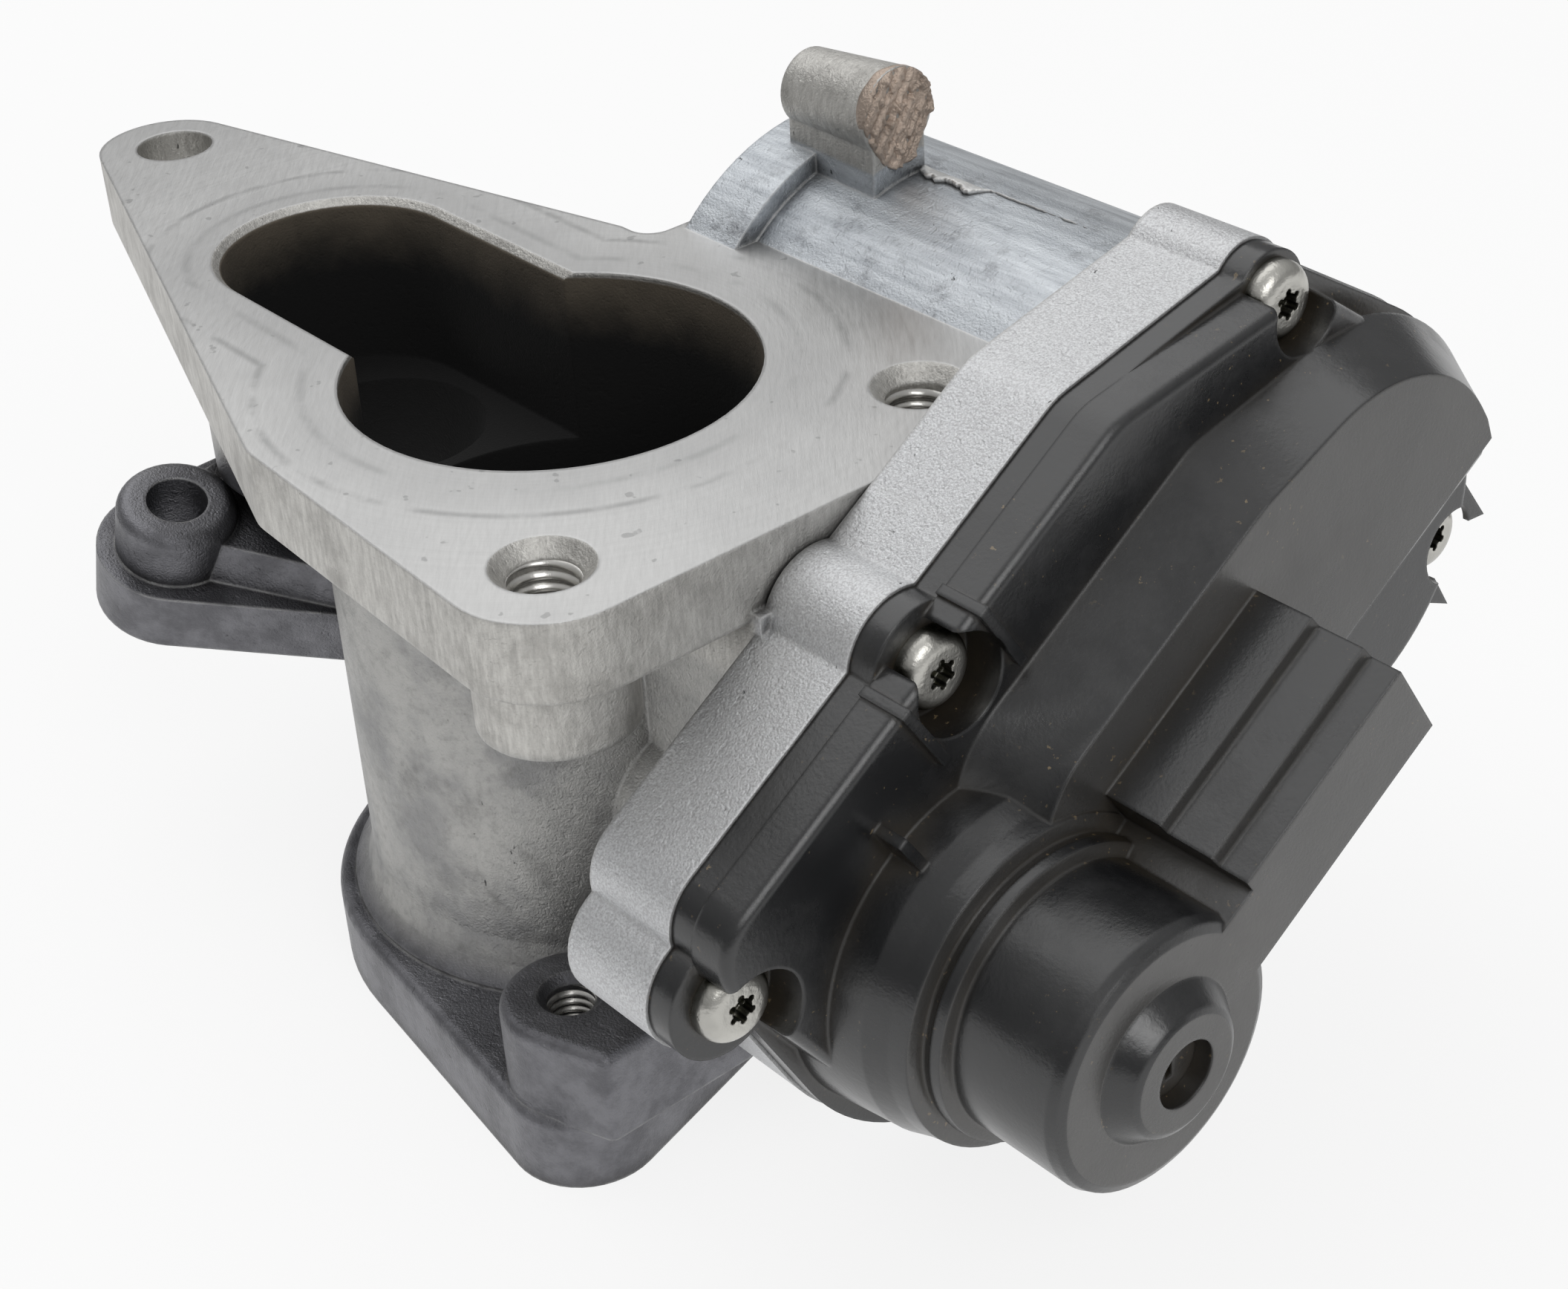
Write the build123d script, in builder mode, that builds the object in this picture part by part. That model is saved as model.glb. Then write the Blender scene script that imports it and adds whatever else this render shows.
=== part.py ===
"""Motor-driven exhaust gas recirculation valve, real size, in millimetres.

Frame: the origin is the centre of the lower mounting face, on the axis of the main bore.
+Z runs up the bore to the top mounting face, +X along the flap shaft to the gear cover.
Everything on the gear side is drawn in the gear plane: its u axis runs along the gear
train from the flap shaft towards the motor, its v axis across it, its normal is +X.
"""
import os
from math import acos, atan, atan2, cos, degrees, hypot, pi, radians, sin, sqrt

from build123d import *

os.makedirs("parts", exist_ok=True)

# ---------------------------------------------------------------- driving dimensions
HEIGHT = 68.0            # lower face to top face
BORE_R = 21.5            # main bore
TUBE_R = 25.0            # outside of the main tube
TOP_T = 8.4              # top flange thickness
# corners of the top flange: place and radius
TOP_CORNERS = [((30.8, -24.0), 9.7), ((-80.1, 3.2), 8.2), ((-6.0, -24.2), 7.2),
               ((-21.0, 24.4), 1.5), ((39.5, 24.4), 1.5)]
SHOULDER_LIMITS = (-16.6, 41.0, 18.0, 38.0)   # x and y limits of its block beside the barrel
SHOULDER_BEND = (-16.6, 26.2)
SHOULDER_BEND_R = 3.0
FRONT_HOLE = (30.3, -24.0)    # M8 thread in the top flange, front
BACK_HOLE = (30.1, 22.5)      # M8 thread in the top flange, beside the motor
EAR_HOLE = (-79.7, 3.8)       # plain hole at the far end of the top flange
M8_CORE_R = 3.5
M8_CHAMFER = 1.5
M8_CLEAR_R = 4.5
BACK_HOLE_L = 18.0
FRONT_STEP = (7.8, 52.0)      # boss under the front thread: radius and underside
BACK_STEP = (7.0, 50.0)       # and under the back one
SLOT_END = (-40.1, 1.0)  # centre of the gas pocket's round end
SLOT_R = 13.0
RIM_CHAMFER = 0.9        # broken edge of the gas pocket
POCKET_DEPTH = 20.0
GAS_HOLE = (-34.7, 1.0)  # gas port where it leaves the pocket floor
GAS_R = 10.8
GAS_TILT = 20.0          # lean of the gas port and its flange, degrees
LOWER_T = 8.6            # lower flange plate
LOWER_DISC_R = 29.4
LOWER_LOBE = (28.8, -25.5)
LOWER_LOBE_R = 8.0
CAST_FILLET = 1.2        # rounded edges of the lower flange and its front boss
LOWER_BOSS_R = 7.2
LOWER_BOSS_TOP = 18.5
BOSS_WEB = [(38.2, -28.6), (38.2, -12.0)]     # flat side of the front boss, towards the housing
BACK_BOSS_TOP = 14.0     # lower, so that a bolt passes it to the gas flange
M6_CORE_R = 2.5
M6_CHAMFER = 0.9
M6_CLEAR_R = 3.4
GAS_PLATE_T = 7.6
GAS_DISC_R = 17.0
GAS_LOBE_R = 8.8
GAS_DUCT_R = 15.0
GAS_BOSS_H = 7.0
GAS_BOSS_R = 6.7
GAS_BOSS_FILLET = 1.6
POCKET_WALL = 4.2
GAS_WEB = [(-0.5, 16.5, 4.6), (4.6, 15.2, 3.0)]   # height on the plate, duct and web radius
GAS_LOBE = (-7.3, -22.9)      # gas flange bolt, in the plane of that flange

SHAFT_Z = 28.5           # height of the flap shaft
SHAFT_R = 4.0
TRAIN_ANGLE = 33.0       # lean of the gear train above +Y, degrees
HOUSING_X = 41.0         # back of the gear housing
JOINT_X = 52.3           # face where the cover meets the housing
WALL_X = 44.5            # floor of the gear chamber
RIM_T = 3.0              # cover rim
DOME_FACE_X = 83.8       # face of the sensor dome and of the connector
PLATEAU_X = 68.3
SHOULDER_X = 60.0        # top of the cover's first step
HOUSING_WALL = 3.2
COVER_WALL = 2.0

MOTOR_UV = (53.2, -8.9)  # motor axis in the gear plane
BARREL_R = 24.0
MOTOR_R = 20.4
BARREL_END_X = -16.7
COLLAR_R = 26.2
COLLAR_L = 9.5
BARREL_CHAMFER = 1.2
LUG = [(-11.5, 4.3, 81.0), (2.5, 5.0, 81.6)]     # x, radius and height of its two ends
LUG_Y = 46.0
LUG_WEB = 12.0

# cover screws in the gear plane, each with the direction from it to the nearest edge and
# the radius of its lobe
SCREWS = [((64.0, 17.5), 68, 5.1), ((15.0, 25.6), 90, 6.7), ((-19.0, 19.6), 140, 6.7),
          ((66.2, -27.8), -56, 5.1), ((28.0, -32.4), -98, 6.7)]
# corners of the gear housing in the gear plane: place, radius and share of an inset it takes
HOUSING_CORNERS = [((5.0, -2.0), 26.0, 1.0), ((-13.0, 24.0), 6.0, 0.0), ((40.0, 22.0), 8.0, 0.0),
                   (SCREWS[0][0], 4.0, 0.5), ((MOTOR_UV[0], MOTOR_UV[1] - 1.7), 25.6, 1.0)]
SCREW_CORE_R = 1.7
SCREW_R = 2.0
SCREW_HEAD_R = 4.0
POCKET_R = 5.2           # room round a screw head, where its lobe leaves it
POCKET_EDGE = 0.7

PRESSURE = radians(20)   # gear pressure angle
OUT_MODULE, OUT_TEETH, SMALL_TEETH = 1.0, 44, 16
IN_MODULE, LARGE_TEETH, PINION_TEETH = 0.8, 49, 12
SECTOR_TEETH = 13
FLAP_TILT = 8.0
RUN_GAP = 0.04           # radial running clearance of shafts
BUSH_R = 6.0
BUSH_X = (-28.5, 22.5)   # where the far and the near bush start
SEAL_X = 38.0
SEAL_R = 8.0
SHAFT_BOSS = (16.0, 13.0)     # start and radius of the boss towards the gear housing
FAR_BOSS = (-30.5, 8.0)       # and of the one round the far bush
STOP_R = 1.8
PIN_R = 2.5
PIN_END_X = 62.5
SENSOR_BORE_R = 12.2
MOTOR_SCREW_CORE_R = 1.25

# ---------------------------------------------------------------- derived places
LEAN = radians(TRAIN_ANGLE)
JOINT_RIM_X = JOINT_X + RIM_T
TOP_UNDER = HEIGHT - TOP_T
POCKET_FLOOR = HEIGHT - POCKET_DEPTH
MOTOR_Y = MOTOR_UV[0] * cos(LEAN) - MOTOR_UV[1] * sin(LEAN)
MOTOR_Z = SHAFT_Z + MOTOR_UV[0] * sin(LEAN) + MOTOR_UV[1] * cos(LEAN)

OUT_PITCH_R = OUT_MODULE * OUT_TEETH / 2
SMALL_PITCH_R = OUT_MODULE * SMALL_TEETH / 2
LARGE_PITCH_R = IN_MODULE * LARGE_TEETH / 2
PINION_PITCH_R = IN_MODULE * PINION_TEETH / 2
OUT_CENTRES = OUT_PITCH_R + SMALL_PITCH_R
IN_CENTRES = LARGE_PITCH_R + PINION_PITCH_R
MOTOR_DIST = hypot(*MOTOR_UV)
# the idler stands where its two centre distances meet, on the upper side of the line
IDLER_TURN = acos((OUT_CENTRES**2 + MOTOR_DIST**2 - IN_CENTRES**2)
                  / (2 * OUT_CENTRES * MOTOR_DIST))
IDLER_ANGLE = atan2(MOTOR_UV[1], MOTOR_UV[0]) + IDLER_TURN
IDLER_UV = (OUT_CENTRES * cos(IDLER_ANGLE), OUT_CENTRES * sin(IDLER_ANGLE))
MOTOR_ANGLE = atan2(MOTOR_UV[1] - IDLER_UV[1], MOTOR_UV[0] - IDLER_UV[0])
SCREWS_UV = [place for place, turn, lobe_r in SCREWS]
SECTOR_PITCH = 360 / OUT_TEETH
SECTOR_START = degrees(IDLER_ANGLE) - 1.5 * SECTOR_PITCH
SECTOR_END = SECTOR_START + SECTOR_TEETH * SECTOR_PITCH
STOP_ANGLE = radians(SECTOR_END + 7.5)
STOP_UV = (17 * cos(STOP_ANGLE), 17 * sin(STOP_ANGLE))
# two screws hold the motor, on the idler's side of it
MOTOR_SCREWS_UV = [(MOTOR_UV[0] + 22.4 * cos(radians(turn)), MOTOR_UV[1] + 22.4 * sin(radians(turn)))
                   for turn in (145, 215)]


def gear_plane(x):
    """Plane across the flap shaft at x: its x runs along the gear train, its normal is +X."""
    return Plane(origin=(x, 0, SHAFT_Z), x_dir=(0, cos(LEAN), sin(LEAN)), z_dir=(1, 0, 0))


def shaft_plane(x):
    """Plane across the flap shaft at x, with its x along +Y and its y along +Z."""
    return Plane(origin=(x, 0, SHAFT_Z), x_dir=(0, 1, 0), z_dir=(1, 0, 0))


def motor_plane(x):
    """Plane across the motor axis at x, with its x along +Y and its y along +Z."""
    return Plane(origin=(x, MOTOR_Y, MOTOR_Z), x_dir=(0, 1, 0), z_dir=(1, 0, 0))


def idler_plane(x):
    """Plane across the idler pin at x, its x along the gear train."""
    centre = gear_plane(x).from_local_coords((IDLER_UV[0], IDLER_UV[1], 0))
    return Plane(origin=centre, x_dir=(0, cos(LEAN), sin(LEAN)), z_dir=(1, 0, 0))


def save(builder, name):
    """Label a finished piece and write it."""
    builder.part.label = name
    export_step(builder.part, f"parts/{name}.step")


# ---------------------------------------------------------------- valve body (casting)
GAS_DUCT_L = 21.5        # pocket floor to gas flange face, along the duct
GAS_FACE = (GAS_HOLE[0] - GAS_DUCT_L * sin(radians(GAS_TILT)), GAS_HOLE[1],
            POCKET_FLOOR - GAS_DUCT_L * cos(radians(GAS_TILT)))


def gas_plane(up):
    """Plane parallel to the gas flange face, up from it into the casting, normal inwards."""
    face = Plane(origin=GAS_FACE, x_dir=(cos(radians(GAS_TILT)), 0, -sin(radians(GAS_TILT))),
                 z_dir=(sin(radians(GAS_TILT)), 0, cos(radians(GAS_TILT))))
    return face.offset(up)


def housing_hull(inset):
    """Outline of the gear housing without its screw lobes, drawn in from the edge by inset."""
    with BuildSketch() as hull:
        for place, corner_r, share in HOUSING_CORNERS:
            with Locations(place):
                Circle(corner_r - share * inset)
        make_hull()
    return hull


def chamber(inset, screw_wall):
    """The housing outline offset inwards, led round each screw on the inside."""
    with BuildSketch() as outline:
        add(housing_hull(0).sketch)
        offset(amount=-inset, kind=Kind.ARC)
        for place, turn, lobe_r in SCREWS:
            with Locations(Location((*place, 0), (0, 0, turn))):
                Circle(screw_wall, mode=Mode.SUBTRACT)
                Rectangle(12, 2 * screw_wall, align=(Align.MIN, Align.CENTER), mode=Mode.SUBTRACT)
    return outline


def housing_outline(inset):
    """The housing outline with its screw lobes."""
    with BuildSketch() as outline:
        add(housing_hull(0).sketch)
        if inset:
            offset(amount=-inset, kind=Kind.ARC)
        for place, turn, lobe_r in SCREWS:
            with Locations(place):
                Circle(lobe_r - inset)
    return outline


with BuildPart() as motor_barrel:
    with BuildSketch(motor_plane(BARREL_END_X)):
        Circle(BARREL_R)
    extrude(amount=HOUSING_X - BARREL_END_X + 1)
    chamfer(motor_barrel.edges().group_by(Axis.X)[0], BARREL_CHAMFER)

with BuildPart() as barrel_collar:
    # collar round the near side of the barrel's end
    with BuildSketch(motor_plane(BARREL_END_X)):
        Circle(COLLAR_R)
    extrude(amount=COLLAR_L)
    chamfer(barrel_collar.edges().group_by(Axis.X)[0], BARREL_CHAMFER)
    with BuildSketch(motor_plane(BARREL_END_X)):
        with Locations((2, 0)):
            Rectangle(COLLAR_R, 3 * COLLAR_R, align=(Align.MIN, Align.CENTER))
    extrude(amount=COLLAR_L, mode=Mode.SUBTRACT)

with BuildPart() as gas_boss:
    # round boss behind a bolt hole of the gas flange
    with BuildSketch(gas_plane(GAS_PLATE_T - 0.5)):
        with Locations(GAS_LOBE, (-GAS_LOBE[0], -GAS_LOBE[1])):
            Circle(GAS_BOSS_R)
    extrude(amount=GAS_BOSS_H + 0.5)
    boss_tops = gas_boss.faces().sort_by(Axis(GAS_FACE, gas_plane(0).z_dir))[-2:]
    fillet(boss_tops.edges(), GAS_BOSS_FILLET)

with BuildPart() as valve_body:
    # lower flange: a diamond with two lobes, and a boss on each
    with BuildSketch(Plane.XY):
        Circle(LOWER_DISC_R)
        with Locations(LOWER_LOBE, (-LOWER_LOBE[0], -LOWER_LOBE[1])):
            Circle(LOWER_LOBE_R)
        make_hull()
    extrude(amount=LOWER_T)
    lower_edges = valve_body.edges().group_by(Axis.Z)[-1]
    fillet(lower_edges, CAST_FILLET)
    with BuildSketch(Plane.XY.offset(LOWER_T - 0.5)):
        with Locations(LOWER_LOBE):
            Circle(LOWER_BOSS_R)
        with Locations(*BOSS_WEB):
            Circle(1)
        make_hull()
    extrude(amount=LOWER_BOSS_TOP - LOWER_T + 0.5)
    fillet(valve_body.faces().group_by(Axis.Z)[-1].edges(), CAST_FILLET)
    with BuildSketch(Plane.XY.offset(LOWER_T - 0.5)):
        with Locations((-LOWER_LOBE[0], -LOWER_LOBE[1])):
            Circle(LOWER_BOSS_R)
    extrude(amount=BACK_BOSS_TOP - LOWER_T + 0.5, taper=6)
    # main tube, flared where it meets the lower flange
    with BuildSketch(Plane.XZ) as tube_profile:
        with BuildLine():
            Polyline((0, LOWER_T - 1), (TUBE_R + 2.5, LOWER_T - 1), (TUBE_R + 2.5, LOWER_T + 0.4),
                     (TUBE_R + 0.8, LOWER_T + 2.2), (TUBE_R, LOWER_T + 5), (TUBE_R, TOP_UNDER + 1),
                     (0, TOP_UNDER + 1), close=True)
        make_face()
    revolve(axis=Axis.Z)
    # top flange: a long plate from the gear housing to the far ear
    with BuildSketch(Plane.XY.offset(TOP_UNDER)) as top_plate:
        for place, corner_r in TOP_CORNERS:
            with Locations(place):
                Circle(corner_r)
        make_hull()
        with BuildSketch(mode=Mode.PRIVATE) as shoulder:
            x0, x1, y0, y1 = SHOULDER_LIMITS
            with Locations((x0, y0)):
                Rectangle(x1 - x0, y1 - y0, align=Align.MIN)
        add(shoulder.sketch)
        corner = top_plate.vertices().sort_by_distance((*SHOULDER_BEND, 0))[0]
        fillet(corner, SHOULDER_BEND_R)
    extrude(amount=TOP_T)
    # steps under the two threads
    for place, (step_r, step_z) in ((FRONT_HOLE, FRONT_STEP), (BACK_HOLE, BACK_STEP)):
        with BuildSketch(Plane.XY.offset(step_z)):
            with Locations(place):
                Circle(step_r)
        extrude(amount=TOP_UNDER - step_z + 0.5)
    # walls of the gas pocket
    with BuildSketch(Plane.XY.offset(POCKET_FLOOR - 4)):
        with Locations(SLOT_END, (-10, SLOT_END[1])):
            Circle(SLOT_R + POCKET_WALL)
        make_hull()
    extrude(amount=TOP_UNDER - POCKET_FLOOR + 4.5)
    # gas duct and its tilted two-bolt flange
    with BuildSketch(gas_plane(0)):
        Circle(GAS_DISC_R)
        with Locations(GAS_LOBE, (-GAS_LOBE[0], -GAS_LOBE[1])):
            Circle(GAS_LOBE_R)
        make_hull()
    extrude(amount=GAS_PLATE_T)
    add(gas_boss.part)
    # webs that slope from the bosses up to the duct
    for web_up, duct_r, web_r in GAS_WEB:
        with BuildSketch(gas_plane(GAS_PLATE_T + web_up)):
            Circle(duct_r)
            with Locations(GAS_LOBE, (-GAS_LOBE[0], -GAS_LOBE[1])):
                Circle(web_r)
            make_hull()
    loft()
    with BuildSketch(gas_plane(GAS_PLATE_T)):
        Circle(GAS_DUCT_R)
    extrude(amount=GAS_DUCT_L - GAS_PLATE_T + 3)
    # boss that carries the shaft from the tube to the housing, with its webs
    with BuildSketch(shaft_plane(SHAFT_BOSS[0])):
        Circle(SHAFT_BOSS[1])
    extrude(amount=HOUSING_X - SHAFT_BOSS[0] + 1)
    with BuildSketch(shaft_plane(FAR_BOSS[0])):
        Circle(FAR_BOSS[1])
    extrude(amount=10)
    with BuildSketch(Plane.XY.offset(SHAFT_Z)):
        with Locations((30, 6)):
            Rectangle(24, 30)
    extrude(amount=TOP_UNDER - SHAFT_Z + 1)
    # gear housing
    with BuildSketch(gear_plane(HOUSING_X)):
        add(housing_outline(0).sketch)
    extrude(amount=JOINT_X - HOUSING_X)
    # motor barrel with its end collar and lug
    add(motor_barrel.part)
    add(barrel_collar.part)
    # lug on top of the barrel, a little lower at its far end
    for lug_x, lug_r, lug_z in LUG:
        with BuildSketch(Plane(origin=(lug_x, LUG_Y, lug_z), x_dir=(0, 1, 0), z_dir=(1, 0, 0))):
            Circle(lug_r)
            with Locations((0, -LUG_WEB / 2)):
                Rectangle(1.5 * lug_r, LUG_WEB)
    loft()
    with BuildSketch(Plane.XY.offset(30)):
        with Locations((4, 30)):
            Rectangle(40, 16)
    extrude(amount=TOP_UNDER - 29)

    # ---- what is cut away
    with BuildSketch(Plane.XY.offset(-1)):
        Circle(BORE_R)
    extrude(amount=HEIGHT + 2, mode=Mode.SUBTRACT)
    with BuildSketch(Plane.XY.offset(POCKET_FLOOR)):
        with Locations(SLOT_END):
            Circle(SLOT_R)
        with Locations((0, SLOT_END[1])):
            Circle(SLOT_R)
        make_hull()
    extrude(amount=POCKET_DEPTH + 1, mode=Mode.SUBTRACT)
    with BuildSketch(Plane.XY.offset(HEIGHT - RIM_CHAMFER)):
        with Locations(SLOT_END):
            Circle(SLOT_R)
        with Locations((0, SLOT_END[1])):
            Circle(SLOT_R)
        make_hull()
    extrude(amount=2 * RIM_CHAMFER, taper=-45, mode=Mode.SUBTRACT)
    with BuildSketch(gas_plane(-1)):
        Circle(GAS_R)
    extrude(amount=GAS_DUCT_L + 6, mode=Mode.SUBTRACT)
    # motor bore, from the gear chamber
    with BuildSketch(motor_plane(BARREL_END_X + 3)):
        Circle(MOTOR_R + 0.1)
    extrude(amount=HOUSING_X - BARREL_END_X + 2, mode=Mode.SUBTRACT)
    # gear chamber, leaving a column round each screw
    with BuildSketch(gear_plane(WALL_X)):
        add(chamber(HOUSING_WALL, 4.6).sketch)
    extrude(amount=JOINT_X - WALL_X + 1, mode=Mode.SUBTRACT)
    # seal groove in the joint face
    with BuildSketch(gear_plane(JOINT_X - 1)):
        add(chamber(1.0, 2.4).sketch)
        add(chamber(2.2, 3.6).sketch, mode=Mode.SUBTRACT)
    extrude(amount=2, mode=Mode.SUBTRACT)
    # shaft bore with its bush and seal seats
    with BuildSketch(shaft_plane(BUSH_X[0])):
        Circle(BUSH_R)
    extrude(amount=8, mode=Mode.SUBTRACT)
    with BuildSketch(shaft_plane(BUSH_X[1] - 2.5)):
        Circle(BUSH_R)
    extrude(amount=14, mode=Mode.SUBTRACT)
    with BuildSketch(shaft_plane(BUSH_X[1] - 2.5)):
        Circle(SHAFT_R + 0.6)
    extrude(amount=30, mode=Mode.SUBTRACT)
    with BuildSketch(shaft_plane(SEAL_X)):
        Circle(SEAL_R)
    extrude(amount=10, mode=Mode.SUBTRACT)
    # seats of the idler pin, the stop pin and the motor screws
    with BuildSketch(idler_plane(WALL_X - 3)):
        Circle(PIN_R)
    extrude(amount=5, mode=Mode.SUBTRACT)
    with BuildSketch(gear_plane(WALL_X - 2.5)):
        with Locations(STOP_UV):
            Circle(STOP_R)
    extrude(amount=5, mode=Mode.SUBTRACT)
    with BuildSketch(gear_plane(WALL_X - 7)):
        with Locations(*MOTOR_SCREWS_UV):
            Circle(MOTOR_SCREW_CORE_R)
    extrude(amount=9, mode=Mode.SUBTRACT)
    # screw holes
    with BuildSketch(gear_plane(JOINT_X - 9)):
        with Locations(*SCREWS_UV):
            Circle(SCREW_CORE_R)
    extrude(amount=12, mode=Mode.SUBTRACT)
    # mounting holes
    with BuildSketch(Plane.XY.offset(45)):
        with Locations(FRONT_HOLE):
            Circle(M8_CORE_R)
        with Locations(EAR_HOLE):
            Circle(M8_CLEAR_R)
    extrude(amount=HEIGHT - 44, mode=Mode.SUBTRACT)
    with BuildSketch(Plane.XY.offset(HEIGHT - BACK_HOLE_L)):
        with Locations(BACK_HOLE):
            Circle(M8_CORE_R)
    extrude(amount=BACK_HOLE_L + 1, mode=Mode.SUBTRACT)
    with BuildSketch(Plane.XY.offset(HEIGHT - M8_CHAMFER)):
        with Locations(FRONT_HOLE, BACK_HOLE):
            Circle(M8_CORE_R)
    extrude(amount=2 * M8_CHAMFER, taper=-45, mode=Mode.SUBTRACT)
    with BuildSketch(Plane.XY.offset(-1)):
        with Locations(LOWER_LOBE, (-LOWER_LOBE[0], -LOWER_LOBE[1])):
            Circle(M6_CORE_R)
    extrude(amount=LOWER_BOSS_TOP + 2, mode=Mode.SUBTRACT)
    with BuildSketch(Plane.XY.offset(LOWER_BOSS_TOP - M6_CHAMFER)):
        with Locations(LOWER_LOBE):
            Circle(M6_CORE_R)
    extrude(amount=2 * M6_CHAMFER, taper=-45, mode=Mode.SUBTRACT)
    with BuildSketch(gas_plane(-1)):
        with Locations(GAS_LOBE, (-GAS_LOBE[0], -GAS_LOBE[1])):
            Circle(M6_CLEAR_R)
    extrude(amount=GAS_PLATE_T + GAS_BOSS_H + 14, mode=Mode.SUBTRACT)
save(valve_body, "valve_body")


# ---------------------------------------------------------------- gear cover (moulding)
PLATEAU_LOW = (4.0, 77.2, -23.3, 20.0)     # u and v limits at the shoulder
PLATEAU_TOP = (7.0, 71.0, -8.0, 16.0)      # u and v limits at its face
# radius of its corners at the dome end, then radius and v of the curve above the motor
PLATEAU_LOW_ENDS = (11.0, 24.0, -8.5)
PLATEAU_TOP_ENDS = (10.0, 18.0, -3.5)
PLATEAU_BEND_R = 8.0                        # its upper edge turns down towards the motor
PLATEAU_CORNER_R = 3.0                     # its corner below the motor
RIB_TOP_X = 61.0
FIN_X = 57.9
FIN_T = 0.7
# corners of the two flat fins below the motor end
FINS = [[(71.9, -24.1), (72.3, -31.4), (69.2, -28.9), (66.9, -24.6)],
        [(63.3, -27.3), (63.1, -36.2), (57.9, -27.7)]]
SOCKET_U = (16.3, 40.0)                    # connector along the gear train
SOCKET_PROFILE = [(-3.8, DOME_FACE_X), (6.4, DOME_FACE_X), (6.6, 80.6), (7.9, 80.2), (8.1, 75.2),
                  (9.4, 74.8), (9.6, PLATEAU_X - 0.5), (-6.5, PLATEAU_X - 0.5), (-6.1, 75.2),
                  (-5.0, 75.6), (-4.8, 80.2), (-3.9, 80.6)]
CAVITY_V = (-3.2, 5.2)
CAVITY_X = (70.9, 81.9)


def plateau_outline(limits, ends, inset=0.0):
    """Plateau outline: round at the dome end, one large and one small corner at the motor end."""
    u0, u1, v0, v1 = limits
    dome_r, motor_r, motor_v = ends
    with BuildSketch() as outline:
        with Locations((u0 + dome_r, v0 + dome_r), (u0 + dome_r, v1 - dome_r)):
            Circle(dome_r)
        with Locations((u1 - motor_r - PLATEAU_BEND_R, v1 - PLATEAU_BEND_R)):
            Circle(PLATEAU_BEND_R)
        with Locations((u1 - motor_r, motor_v)):
            Circle(motor_r)
        with Locations((u1 - PLATEAU_CORNER_R, v0 + PLATEAU_CORNER_R)):
            Circle(PLATEAU_CORNER_R)
        make_hull()
        with Locations((u0, v0)):
            Rectangle(u1 - u0, v1 - v0, align=Align.MIN, mode=Mode.INTERSECT)
        if inset:
            offset(amount=-inset, kind=Kind.ARC)
    return outline


with BuildPart() as plateau:
    # raised part of the cover over the motor end
    with BuildSketch(gear_plane(SHOULDER_X - 1)):
        add(plateau_outline(PLATEAU_LOW, PLATEAU_LOW_ENDS).sketch)
    with BuildSketch(gear_plane(PLATEAU_X)):
        add(plateau_outline(PLATEAU_TOP, PLATEAU_TOP_ENDS).sketch)
    loft()

with BuildPart() as screw_column:
    # wall of the screw pocket that the plateau runs into
    add(plateau.part)
    with BuildSketch(gear_plane(JOINT_X)):
        with Locations(SCREWS_UV[0]):
            Circle(POCKET_R + 1.7)
    extrude(amount=PLATEAU_X - JOINT_X, mode=Mode.INTERSECT)

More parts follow.
